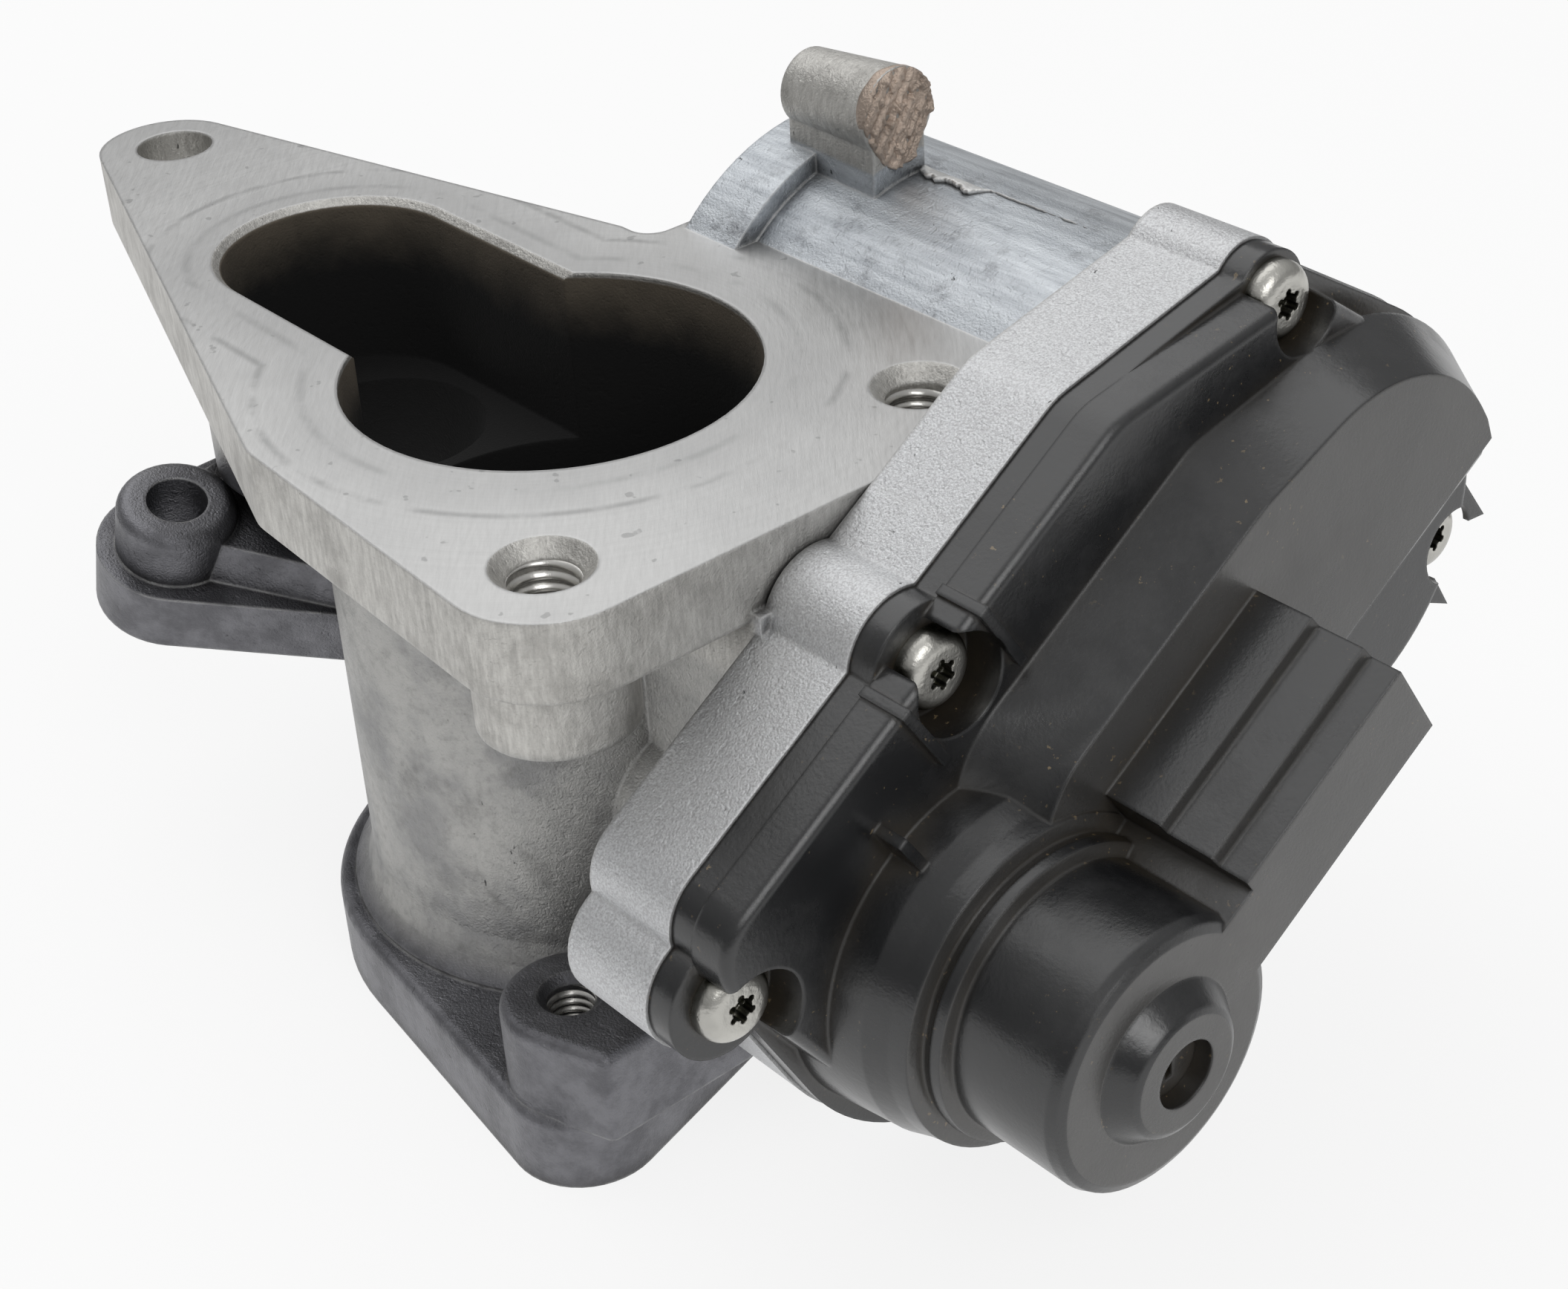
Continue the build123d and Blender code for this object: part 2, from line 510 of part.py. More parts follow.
with BuildPart() as gear_cover:
    with BuildSketch(gear_plane(JOINT_X)):
        add(housing_outline(0.3).sketch)
    extrude(amount=RIM_T)
    # first step over the gears
    with BuildSketch(gear_plane(JOINT_RIM_X)):
        add(housing_hull(3.0).sketch)
    with BuildSketch(gear_plane(SHOULDER_X)):
        add(housing_hull(3.5).sketch)
    loft()
    step_edges = gear_cover.edges().group_by(Axis.X)[-1]
    fillet(step_edges, 1.0)
    add(plateau.part)
    # collars and barrel of the sensor dome
    with BuildSketch(Plane.XZ) as dome_profile:
        with BuildLine():
            Polyline((55, SHAFT_Z), (55, SHAFT_Z + 19.5), (64, SHAFT_Z + 18.4), (66.5, SHAFT_Z + 17.6),
                     (68.6, SHAFT_Z + 17.2), (68.8, SHAFT_Z + 15.4), (69.6, SHAFT_Z + 15.4),
                     (69.8, SHAFT_Z + 15.6), (70.9, SHAFT_Z + 15.4), (71.2, SHAFT_Z + 14.0),
                     (DOME_FACE_X - 1.4, SHAFT_Z + 13.9), (DOME_FACE_X - 0.4, SHAFT_Z + 13.5),
                     (DOME_FACE_X, SHAFT_Z + 12.6), (DOME_FACE_X, SHAFT_Z + 8.4),
                     (DOME_FACE_X + 2.2, SHAFT_Z + 6.6), (DOME_FACE_X + 2.5, SHAFT_Z + 6.0),
                     (DOME_FACE_X + 2.5, SHAFT_Z), close=True)
        make_face()
    revolve(axis=Axis((0, 0, SHAFT_Z), (1, 0, 0)))
    # connector shroud, with the block that ties it to the dome
    with BuildSketch(Plane(origin=gear_plane(0).from_local_coords((SOCKET_U[0], 0, 0)),
                           x_dir=gear_plane(0).y_dir, z_dir=gear_plane(0).x_dir)):
        with BuildLine():
            Polyline(*[(v, x) for v, x in SOCKET_PROFILE], close=True)
        make_face()
    extrude(amount=SOCKET_U[1] - SOCKET_U[0])
    with BuildSketch(gear_plane(PLATEAU_X - 1)):
        with Locations((12.5, 0.6)):
            Rectangle(9, 8.8)
    extrude(amount=DOME_FACE_X - PLATEAU_X + 1)
    # ribs beside the screw pockets
    with BuildSketch(gear_plane(JOINT_RIM_X)):
        with Locations((9.2, 26.0), (20.6, 26.0)):
            Rectangle(1.1, 9.0)
    extrude(amount=RIB_TOP_X - JOINT_RIM_X)
    with BuildSketch(gear_plane(SHOULDER_X - 1)):
        with Locations((0.6, 17)):
            Rectangle(1.1, 12)
    extrude(amount=4.5)
    # fins at the motor end
    for corners in FINS:
        with BuildSketch(gear_plane(FIN_X)):
            with BuildLine():
                Polyline(*corners, close=True)
            make_face()
        extrude(amount=FIN_T)

    # ---- inside
    with BuildSketch(gear_plane(JOINT_X - 1)):
        add(chamber(5.6, POCKET_R + 1.7).sketch)
    extrude(amount=SHOULDER_X - COVER_WALL - JOINT_X + 1, mode=Mode.SUBTRACT)
    with BuildSketch(gear_plane(SHOULDER_X - 3)):
        add(plateau_outline(PLATEAU_LOW, PLATEAU_LOW_ENDS, 2.2).sketch)
    with BuildSketch(gear_plane(PLATEAU_X - 2.2)):
        add(plateau_outline(PLATEAU_TOP, PLATEAU_TOP_ENDS, 1.4).sketch)
    loft(mode=Mode.SUBTRACT)
    add(screw_column.part)
    # boss that holds the far end of the idler pin
    with BuildSketch(idler_plane(59.4)):
        Circle(4.4)
    extrude(amount=PLATEAU_X - 60.4)
    with BuildSketch(idler_plane(59)):
        Circle(PIN_R)
    extrude(amount=PIN_END_X + 0.3 - 59, mode=Mode.SUBTRACT)
    with BuildSketch(shaft_plane(JOINT_X)):
        Circle(SENSOR_BORE_R)
    extrude(amount=DOME_FACE_X - 2.2 - JOINT_X, mode=Mode.SUBTRACT)
    with BuildSketch(shaft_plane(DOME_FACE_X - 3)):
        Circle(3.5)
    extrude(amount=10, mode=Mode.SUBTRACT)
    # socket, open at the end away from the dome
    with BuildSketch(gear_plane(CAVITY_X[0])):
        with Locations(((SOCKET_U[1] + 22) / 2 + 0.5, (CAVITY_V[0] + CAVITY_V[1]) / 2)):
            Rectangle(SOCKET_U[1] - 22 + 1, CAVITY_V[1] - CAVITY_V[0])
    extrude(amount=CAVITY_X[1] - CAVITY_X[0], mode=Mode.SUBTRACT)
    # screw pockets and holes
    with BuildSketch(gear_plane(JOINT_RIM_X)):
        for place, turn, lobe_r in SCREWS:
            with Locations(place):
                Circle(min(POCKET_R, lobe_r - POCKET_EDGE))
    extrude(amount=14, mode=Mode.SUBTRACT)
    with BuildSketch(gear_plane(JOINT_X - 1)):
        with Locations(*SCREWS_UV):
            Circle(SCREW_R + 0.15)
    extrude(amount=8, mode=Mode.SUBTRACT)
save(gear_cover, "gear_cover")

with BuildPart() as cover_seal:
    with BuildSketch(gear_plane(JOINT_X - 1)):
        add(chamber(1.1, 2.5).sketch)
        add(chamber(2.1, 3.5).sketch, mode=Mode.SUBTRACT)
    extrude(amount=1)
save(cover_seal, "cover_seal")

with BuildPart() as cover_screws:
    # button heads with a star recess
    with BuildSketch(gear_plane(JOINT_X - 8.5)):
        with Locations(*SCREWS_UV):
            Circle(SCREW_CORE_R)
    extrude(amount=8.5)
    with BuildSketch(gear_plane(JOINT_X)):
        with Locations(*SCREWS_UV):
            Circle(SCREW_R)
    extrude(amount=RIM_T)
    with BuildSketch(gear_plane(JOINT_RIM_X)):
        with Locations(*SCREWS_UV):
            Circle(SCREW_HEAD_R)
    extrude(amount=2.4)
    fillet(cover_screws.edges().group_by(Axis.X)[-1], 1.7)
    with BuildSketch(gear_plane(JOINT_RIM_X + 0.9)):
        for screw_u, screw_v in SCREWS_UV:
            with Locations((screw_u, screw_v)):
                Circle(1.15)
                with PolarLocations(1.25, 6):
                    Circle(0.38)
    extrude(amount=2, mode=Mode.SUBTRACT)
save(cover_screws, "cover_screws")


# ---------------------------------------------------------------- flap and its shaft
FLAP_T = 2.0
SHAFT_START_X = -28.0
SHAFT_END_X = 66.0
FLAP_SCREW_X = 9.0
FLAP_PLANE = Plane(origin=(0, 0, SHAFT_Z), x_dir=(1, 0, 0),
                   z_dir=(0, sin(radians(FLAP_TILT)), cos(radians(FLAP_TILT))))

with BuildPart() as flap_plate:
    with BuildSketch(Plane.XY.offset(SHAFT_Z - 8)):
        Circle(BORE_R - 0.12)
    extrude(amount=16)
    with BuildSketch(FLAP_PLANE.offset(-FLAP_T / 2)):
        Rectangle(60, 60)
    extrude(amount=FLAP_T, mode=Mode.INTERSECT)
    with BuildSketch(FLAP_PLANE.offset(-FLAP_T)):
        with Locations((-FLAP_SCREW_X, 0), (FLAP_SCREW_X, 0)):
            Circle(1.6)
    extrude(amount=2 * FLAP_T, mode=Mode.SUBTRACT)
save(flap_plate, "flap_plate")

with BuildPart() as flap_shaft:
    with BuildSketch(shaft_plane(SHAFT_START_X)):
        Circle(SHAFT_R)
    extrude(amount=SHAFT_END_X - SHAFT_START_X)
    chamfer(flap_shaft.edges().group_by(Axis.X)[0], 0.5)
    # slot that takes the flap, and the screw holes across it
    with BuildSketch(FLAP_PLANE.offset(-FLAP_T / 2)):
        Rectangle(2 * BORE_R, 20)
    extrude(amount=FLAP_T, mode=Mode.SUBTRACT)
    with BuildSketch(FLAP_PLANE.offset(-6)):
        with Locations((-FLAP_SCREW_X, 0), (FLAP_SCREW_X, 0)):
            Circle(1.6)
    extrude(amount=12, mode=Mode.SUBTRACT)
    with BuildSketch(FLAP_PLANE.offset(SHAFT_R - 1)):
        with Locations((-FLAP_SCREW_X, 0), (FLAP_SCREW_X, 0)):
            Circle(2.8)
    extrude(amount=2, mode=Mode.SUBTRACT)
save(flap_shaft, "flap_shaft")

with BuildPart() as flap_screws:
    with BuildSketch(FLAP_PLANE.offset(-SHAFT_R)):
        with Locations((-FLAP_SCREW_X, 0), (FLAP_SCREW_X, 0)):
            Circle(1.5)
    extrude(amount=2 * SHAFT_R - 1)
    with BuildSketch(FLAP_PLANE.offset(SHAFT_R - 1)):
        with Locations((-FLAP_SCREW_X, 0), (FLAP_SCREW_X, 0)):
            Circle(2.6)
    extrude(amount=1.4)
save(flap_screws, "flap_screws")


def bush(x0, length, outer_r, inner_r):
    """A plain ring on the flap shaft's axis."""
    with BuildPart() as ring:
        with BuildSketch(shaft_plane(x0)):
            Circle(outer_r)
            Circle(inner_r, mode=Mode.SUBTRACT)
        extrude(amount=length)
    return ring


save(bush(BUSH_X[0], 6.0, BUSH_R, SHAFT_R + RUN_GAP), "far_bush")
save(bush(BUSH_X[1], 11.0, BUSH_R, SHAFT_R + RUN_GAP), "near_bush")
save(bush(SEAL_X, 4.5, SEAL_R, SHAFT_R + 0.3), "shaft_seal")


# ---------------------------------------------------------------- gear train
def involute(radius, base_r):
    """Polar angle of an involute of the base circle where it reaches the radius."""
    reach = sqrt(max(radius * radius - base_r * base_r, 0)) / base_r
    return reach - atan(reach)


def gear_sketch(plane, teeth, module, first_angle, count, addendum, play=0.12):
    """Root circle with count involute teeth, the first one centred on first_angle (radians)."""
    pitch_r = teeth * module / 2
    base_r = pitch_r * cos(PRESSURE)
    root_r = pitch_r - (addendum + 0.25) * module
    tip_r = pitch_r + addendum * module
    half_angle = pi / (2 * teeth) + involute(pitch_r, base_r) - play / (2 * pitch_r)
    start_r = max(root_r, base_r)
    radii = [start_r + (tip_r - start_r) * step / 3 for step in range(4)]
    flank = [(radius, half_angle - involute(radius, base_r)) for radius in radii]
    flank.insert(0, (root_r - 0.2, flank[0][1]))
    right = [(radius * cos(-turn), radius * sin(-turn)) for radius, turn in flank]
    left = [(radius * cos(turn), radius * sin(turn)) for radius, turn in reversed(flank)]
    with BuildSketch(plane) as gear:
        Circle(root_r)
        for tooth in range(count):
            turn = degrees(first_angle) + tooth * 360 / teeth
            with Locations(Location((0, 0, 0), (0, 0, turn))):
                with BuildLine():
                    Polyline(*right, *left, close=True)
                make_face()
    return gear


SECTOR_X = (48.2, 52.0)     # below the joint face, clear of the cover's wall
SMALL_X = (47.6, 53.2)
LARGE_X = (53.2, 56.6)
PINION_X = (52.8, 57.0)
SECTOR_FIRST = IDLER_ANGLE - radians(SECTOR_PITCH)
HUB_R = 8.0

with BuildPart() as output_gear:
    # a toothed sector on a web, and the hub that is moulded on the flap shaft
    sector_mid = (SECTOR_START + SECTOR_END) / 2
    fan_ends = [(30 * cos(radians(turn)), 30 * sin(radians(turn)))
                for turn in (SECTOR_START, sector_mid, SECTOR_END)]
    with BuildSketch(gear_plane(SECTOR_X[0])):
        add(gear_sketch(Plane.XY, OUT_TEETH, OUT_MODULE, SECTOR_FIRST, SECTOR_TEETH, 0.9).sketch)
        with BuildLine():
            fan = ThreePointArc(*fan_ends)
            Line(fan @ 1, (0, 0))
            Line((0, 0), fan @ 0)
        make_face(mode=Mode.INTERSECT)
        Circle(HUB_R)
    extrude(amount=SECTOR_X[1] - SECTOR_X[0])
    with BuildSketch(gear_plane(44.9)):
        Circle(HUB_R)
    extrude(amount=64 - 44.9)
    # window that lightens the web
    with BuildSketch(gear_plane(SECTOR_X[1] - 1.2)):
        with PolarLocations(14.5, 4, start_angle=degrees(SECTOR_FIRST) + 14, angular_range=72):
            Circle(2.8)
    extrude(amount=4, mode=Mode.SUBTRACT)
    with BuildSketch(gear_plane(40)):
        Circle(SHAFT_R)
    extrude(amount=SHAFT_END_X - 40, mode=Mode.SUBTRACT)
save(output_gear, "output_gear")

with BuildPart() as sensor_magnet:
    with BuildSketch(shaft_plane(SHAFT_END_X)):
        Circle(6.0)
    extrude(amount=3.2)
    with BuildSketch(shaft_plane(64)):
        Circle(6.0)
        Circle(SHAFT_R, mode=Mode.SUBTRACT)
    extrude(amount=2)
save(sensor_magnet, "sensor_magnet")

with BuildPart() as idler_gear:
    small_first = IDLER_ANGLE + pi + pi / SMALL_TEETH
    with BuildSketch(idler_plane(SMALL_X[0])):
        add(gear_sketch(Plane.XY, SMALL_TEETH, OUT_MODULE, small_first, SMALL_TEETH, 0.9).sketch)
    extrude(amount=SMALL_X[1] - SMALL_X[0])
    with BuildSketch(idler_plane(LARGE_X[0])):
        add(gear_sketch(Plane.XY, LARGE_TEETH, IN_MODULE, MOTOR_ANGLE, LARGE_TEETH, 0.75).sketch)
    extrude(amount=LARGE_X[1] - LARGE_X[0])
    with BuildSketch(idler_plane(LARGE_X[1])):
        Circle(5)
    extrude(amount=2.4)
    with BuildSketch(idler_plane(LARGE_X[1] - 1.3)):
        Circle(17)
        Circle(6.5, mode=Mode.SUBTRACT)
    extrude(amount=3, mode=Mode.SUBTRACT)
    with BuildSketch(idler_plane(40)):
        Circle(PIN_R + RUN_GAP)
    extrude(amount=30, mode=Mode.SUBTRACT)
save(idler_gear, "idler_gear")

with BuildPart() as idler_pin:
    with BuildSketch(idler_plane(WALL_X - 3)):
        Circle(PIN_R)
    extrude(amount=PIN_END_X - WALL_X + 3)
    chamfer(idler_pin.edges().group_by(Axis.X)[-1], 0.4)
save(idler_pin, "idler_pin")

with BuildPart() as return_spring:
    # two and a quarter open turns round the hub
    with BuildLine() as coil:
        Helix(pitch=0.95, height=2.1, radius=9.6, center=(45.6, 0, SHAFT_Z), direction=(1, 0, 0))
    with BuildSketch(Plane(origin=coil.line @ 0, z_dir=coil.line % 0)):
        Circle(0.4)
    sweep(is_frenet=True)
save(return_spring, "return_spring")


# ---------------------------------------------------------------- motor
def motor_ring(x0, x1, outer_r, inner_r=0.0):
    """A ring or disc on the motor axis."""
    with BuildPart() as ring:
        with BuildSketch(motor_plane(x0)):
            Circle(outer_r)
            if inner_r:
                Circle(inner_r, mode=Mode.SUBTRACT)
        extrude(amount=x1 - x0)
    return ring


MOTOR_X0 = BARREL_END_X + 3.4
MOTOR_SHAFT_R = 1.6
CAN_R = MOTOR_R - 0.2
CAN_X1 = 41.0
BRUSH_W = 4.0

with BuildPart() as motor_can:
    with BuildSketch(motor_plane(MOTOR_X0)):
        Circle(CAN_R)
    extrude(amount=CAN_X1 - MOTOR_X0)
    fillet(motor_can.edges().group_by(Axis.X)[0], 2)
    with BuildSketch(motor_plane(MOTOR_X0 + 1.5)):
        Circle(CAN_R - 1.4)
    extrude(amount=CAN_X1 - MOTOR_X0, mode=Mode.SUBTRACT)
    with BuildSketch(motor_plane(MOTOR_X0 + 1.5)):
        Circle(5)
        Circle(3.5, mode=Mode.SUBTRACT)
    extrude(amount=3.5)
save(motor_can, "motor_can")

with BuildPart() as motor_magnets:
    # two arcs glued in the can
    with BuildSketch(motor_plane(-4)):
        Circle(CAN_R - 1.4)
        Circle(14.6, mode=Mode.SUBTRACT)
        Rectangle(16, 60, mode=Mode.SUBTRACT)
    extrude(amount=34)
save(motor_magnets, "motor_magnets")

with BuildPart() as armature:
    # slotted lamination stack
    with BuildSketch(motor_plane(-1)):
        Circle(14.0)
        with PolarLocations(10.2, 8):
            SlotOverall(8.2, 3.0, mode=Mode.SUBTRACT)
        Circle(MOTOR_SHAFT_R, mode=Mode.SUBTRACT)
    extrude(amount=28)
save(armature, "armature")

with BuildPart() as windings:
    # coil heads at both ends of the stack
    with BuildSketch(motor_plane(-5.5)):
        Circle(13.0)
        Circle(4.5, mode=Mode.SUBTRACT)
    extrude(amount=4.5)
    with BuildSketch(motor_plane(27)):
        Circle(13.0)
        Circle(4.5, mode=Mode.SUBTRACT)
    extrude(amount=4.0)
    rims = windings.edges().filter_by(GeomType.CIRCLE).filter_by(lambda rim: rim.radius > 12)
    fillet(rims, 1.4)
save(windings, "windings")

with BuildPart() as commutator:
    with BuildSketch(motor_plane(31)):
        Circle(6.0)
        with PolarLocations(6.0, 8):
            Rectangle(1.6, 0.5, mode=Mode.SUBTRACT)
        Circle(MOTOR_SHAFT_R, mode=Mode.SUBTRACT)
    extrude(amount=7.5)
save(commutator, "commutator")

with BuildPart() as motor_shaft:
    with BuildSketch(motor_plane(MOTOR_X0 + 1.7)):
        Circle(MOTOR_SHAFT_R)
    extrude(amount=57.4 - MOTOR_X0 - 1.7)
save(motor_shaft, "motor_shaft")

save(motor_ring(MOTOR_X0 + 1.5, MOTOR_X0 + 5, 3.5, MOTOR_SHAFT_R + RUN_GAP), "rear_bearing")
save(motor_ring(41.0, 45.5, 4.0, MOTOR_SHAFT_R + RUN_GAP), "front_bearing")

with BuildPart() as brush_plate:
    # end plate of the motor, flush with the floor of the gear chamber
    with BuildSketch(motor_plane(CAN_X1)):
        Circle(CAN_R)
        Circle(4.0, mode=Mode.SUBTRACT)
    extrude(amount=WALL_X - CAN_X1)
    # guides of the two brushes
    with BuildSketch(motor_plane(32.5)):
        with Locations((0, 11.4), (0, -11.4)):
            Rectangle(6.4, 8)
            Rectangle(BRUSH_W, 8, mode=Mode.SUBTRACT)
    extrude(amount=CAN_X1 - 32.5)
save(brush_plate, "brush_plate")

with BuildPart() as brushes:
    with BuildSketch(motor_plane(33)):
        with Locations((0, 9.8), (0, -9.8)):
            Rectangle(BRUSH_W, 7)
    extrude(amount=5)
save(brushes, "brushes")

with BuildPart() as motor_screws:
    with BuildSketch(gear_plane(WALL_X - 6.5)):
        with Locations(*MOTOR_SCREWS_UV):
            Circle(MOTOR_SCREW_CORE_R)
    extrude(amount=6.5)
    with BuildSketch(gear_plane(WALL_X)):
        with Locations(*MOTOR_SCREWS_UV):
            Circle(2.8)
    extrude(amount=1.8)
    with BuildSketch(gear_plane(WALL_X + 0.8)):
        with Locations(*MOTOR_SCREWS_UV):
            RegularPolygon(1.3, 6)
    extrude(amount=2, mode=Mode.SUBTRACT)
save(motor_screws, "motor_screws")

with BuildPart() as motor_contacts:
    # two blades from the motor's end plate towards the cover
    with BuildSketch(gear_plane(WALL_X)):
        with Locations((MOTOR_UV[0] + 12.6, MOTOR_UV[1] - 1), (MOTOR_UV[0] + 12.6, MOTOR_UV[1] - 8)):
            Rectangle(0.8, 3.6)
    extrude(amount=10)
save(motor_contacts, "motor_contacts")

with BuildPart() as motor_pinion:
    with BuildSketch(motor_plane(PINION_X[0])):
        pinion_turn = MOTOR_ANGLE + pi + pi / PINION_TEETH + LEAN
        add(gear_sketch(Plane.XY, PINION_TEETH, IN_MODULE, pinion_turn, PINION_TEETH, 0.75).sketch)
        Circle(MOTOR_SHAFT_R, mode=Mode.SUBTRACT)
    extrude(amount=PINION_X[1] - PINION_X[0])
save(motor_pinion, "motor_pinion")


# ---------------------------------------------------------------- sensor and contacts
with BuildPart() as sensor_board:
    with BuildSketch(shaft_plane(72.4)):
        Circle(SENSOR_BORE_R)
    extrude(amount=1.2)
    with BuildSketch(shaft_plane(73.6)):
        Rectangle(6, 5)
    extrude(amount=1.4)
save(sensor_board, "sensor_board")

with BuildPart() as connector_pins:
    with BuildSketch(Plane(origin=gear_plane(0).from_local_coords((22, 0, 0)),
                           x_dir=gear_plane(0).y_dir, z_dir=gear_plane(0).x_dir)):
        with Locations((1.0, (CAVITY_X[0] + CAVITY_X[1]) / 2)):
            with GridLocations(1, 1.9, 1, 5):
                Rectangle(0.6, 0.8)
    extrude(amount=11)
save(connector_pins, "connector_pins")

with BuildPart() as dome_plug:
    with BuildSketch(shaft_plane(DOME_FACE_X - 2.2)):
        Circle(3.5)
    extrude(amount=2.6)
    with BuildSketch(shaft_plane(DOME_FACE_X - 0.8)):
        Rectangle(0.9, 3.4)
    extrude(amount=2, mode=Mode.SUBTRACT)
save(dome_plug, "dome_plug")

with BuildPart() as stop_pin:
    # the closed position of the sector
    with BuildSketch(gear_plane(WALL_X - 2.5)):
        with Locations(STOP_UV):
            Circle(STOP_R)
    extrude(amount=9)
save(stop_pin, "stop_pin")
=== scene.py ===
"""Looks of a motor-driven exhaust gas recirculation valve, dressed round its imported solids.

Every length is in metres, in the frame of the solids: +Z runs up the main bore, +X along the
flap shaft to the gear cover, and the origin is the centre of the lower mounting face.
"""

import logging
from dataclasses import dataclass, field
from enum import Enum

import bmesh
import bpy
import numpy as np
from mathutils import Matrix, Vector


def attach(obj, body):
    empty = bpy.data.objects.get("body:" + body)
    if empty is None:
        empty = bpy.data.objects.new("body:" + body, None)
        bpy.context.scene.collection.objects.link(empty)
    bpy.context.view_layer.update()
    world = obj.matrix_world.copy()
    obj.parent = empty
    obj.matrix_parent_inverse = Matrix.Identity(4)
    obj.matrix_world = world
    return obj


logging.basicConfig(level=logging.INFO, format="%(name)s: %(message)s")
LOG = logging.getLogger("egr_valve")

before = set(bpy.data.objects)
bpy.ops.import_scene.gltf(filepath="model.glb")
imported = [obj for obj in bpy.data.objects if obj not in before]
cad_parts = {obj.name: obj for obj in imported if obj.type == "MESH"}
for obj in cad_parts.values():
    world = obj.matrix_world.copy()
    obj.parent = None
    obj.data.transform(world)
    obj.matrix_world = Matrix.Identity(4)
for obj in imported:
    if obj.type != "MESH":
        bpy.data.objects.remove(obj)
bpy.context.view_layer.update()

Colour = tuple[float, float, float]
Point = tuple[float, float, float]
MM = 0.001


# ------------------------------------------------------------------ node graphs
class Graph:
    """A thin wrapper round a node tree, for materials, worlds and node groups."""

    def __init__(self, tree: bpy.types.NodeTree) -> None:
        """Empty the tree and keep it.

        Args:
            tree: the node tree to fill.
        """
        self.tree = tree
        tree.nodes.clear()

    def node(self, kind: str, settings: dict | None = None, **inputs: object) -> bpy.types.Node:
        """Add a node.

        Args:
            kind: the node's class, such as ShaderNodeMath.
            settings: properties of the node itself.
            inputs: socket values or links; a name like i0 means the first input.

        Returns:
            The new node.
        """
        made = self.tree.nodes.new(kind)
        for name, value in (settings or {}).items():
            setattr(made, name, value)
        for name, value in inputs.items():
            key = int(name[1:]) if name[0] == "i" and name[1:].isdigit() else name.replace("_", " ")
            self.feed(made.inputs[key], value)
        return made

    def feed(self, socket: bpy.types.NodeSocket, value: object) -> None:
        """Link a socket to another, or set its value.

        Args:
            socket: the input to fill.
            value: an output socket, a number or a colour.
        """
        if isinstance(value, bpy.types.NodeSocket):
            self.tree.links.new(value, socket)
        elif isinstance(value, (tuple, list)) and len(value) == 3 and socket.type == "RGBA":
            socket.default_value = (*value, 1.0)
        else:
            socket.default_value = value

    def math(self, operation: str, first: object, second: object = 0.0) -> bpy.types.NodeSocket:
        """Return the output of a Math node."""
        return self.node("ShaderNodeMath", {"operation": operation}, i0=first, i1=second).outputs[0]

    def times(self, first: object, *others: object) -> bpy.types.NodeSocket:
        """Return the product of two or more values."""
        for other in others:
            first = self.math("MULTIPLY", first, other)
        return first

    def minus(self, first: object, second: object) -> bpy.types.NodeSocket:
        """Return first less second."""
        return self.math("SUBTRACT", first, second)

    def band(self, value: object, low: float, high: float) -> bpy.types.NodeSocket:
        """Return a smooth step of value: 0 at low and 1 at high."""
        settings = {"interpolation_type": "SMOOTHSTEP", "clamp": True}
        made = self.node("ShaderNodeMapRange", settings, Value=value, From_Min=low, From_Max=high)
        return made.outputs[0]

    def below(self, value: object, limit: float, edge: float = 0.3 * MM) -> bpy.types.NodeSocket:
        """Return 1 where value is below the limit and 0 above it, with an edge on both sides."""
        return self.minus(1.0, self.band(value, limit - edge, limit + edge))

    def length(self, x: object, y: object) -> bpy.types.NodeSocket:
        """Return the length of a flat vector given by its two parts."""
        vector = self.node("ShaderNodeCombineXYZ", None, X=x, Y=y).outputs[0]
        return self.node("ShaderNodeVectorMath", {"operation": "LENGTH"}, i0=vector).outputs["Value"]

    def parts(self, vector: object) -> bpy.types.bpy_prop_collection:
        """Return the x, y and z of a vector."""
        return self.node("ShaderNodeSeparateXYZ", None, i0=vector).outputs

    def blend(self, factor: object, first: object, second: object) -> bpy.types.NodeSocket:
        """Return the colour that goes from first to second as factor goes from 0 to 1."""
        made = self.node("ShaderNodeMix", {"data_type": "RGBA"}, i0=factor)
        self.feed(made.inputs[6], first)
        self.feed(made.inputs[7], second)
        return made.outputs[2]

    def lerp(self, factor: object, first: object, second: object) -> bpy.types.NodeSocket:
        """Return the number that goes from first to second as factor goes from 0 to 1."""
        made = self.node("ShaderNodeMix", {"data_type": "FLOAT"}, i0=factor)
        self.feed(made.inputs[2], first)
        self.feed(made.inputs[3], second)
        return made.outputs[0]

    def noise(self, place: object, scale: object, detail: float = 3.0,
              rough: float = 0.55) -> bpy.types.NodeSocket:
        """Return fractal noise from 0 to 1 at a place; scale is in waves per metre."""
        made = self.node("ShaderNodeTexNoise", None, Vector=place, Scale=scale, Detail=detail,
                         Roughness=rough)
        return made.outputs[0]


def new_group(name: str, inputs: dict[str, float],
              outputs: tuple[str, ...]) -> tuple[Graph, bpy.types.Node, bpy.types.Node]:
    """Make an empty shader node group.

    Args:
        name: the group's name.
        inputs: each numeric input with its default.
        outputs: the names of the numeric outputs.

    Returns:
        The graph, the group's input node and its output node.
    """
    tree = bpy.data.node_groups.new(name, "ShaderNodeTree")
    graph = Graph(tree)
    for label, value in inputs.items():
        socket = tree.interface.new_socket(label, in_out="INPUT", socket_type="NodeSocketFloat")
        socket.default_value = value
    for label in outputs:
        tree.interface.new_socket(label, in_out="OUTPUT", socket_type="NodeSocketFloat")
    return graph, graph.node("NodeGroupInput"), graph.node("NodeGroupOutput")


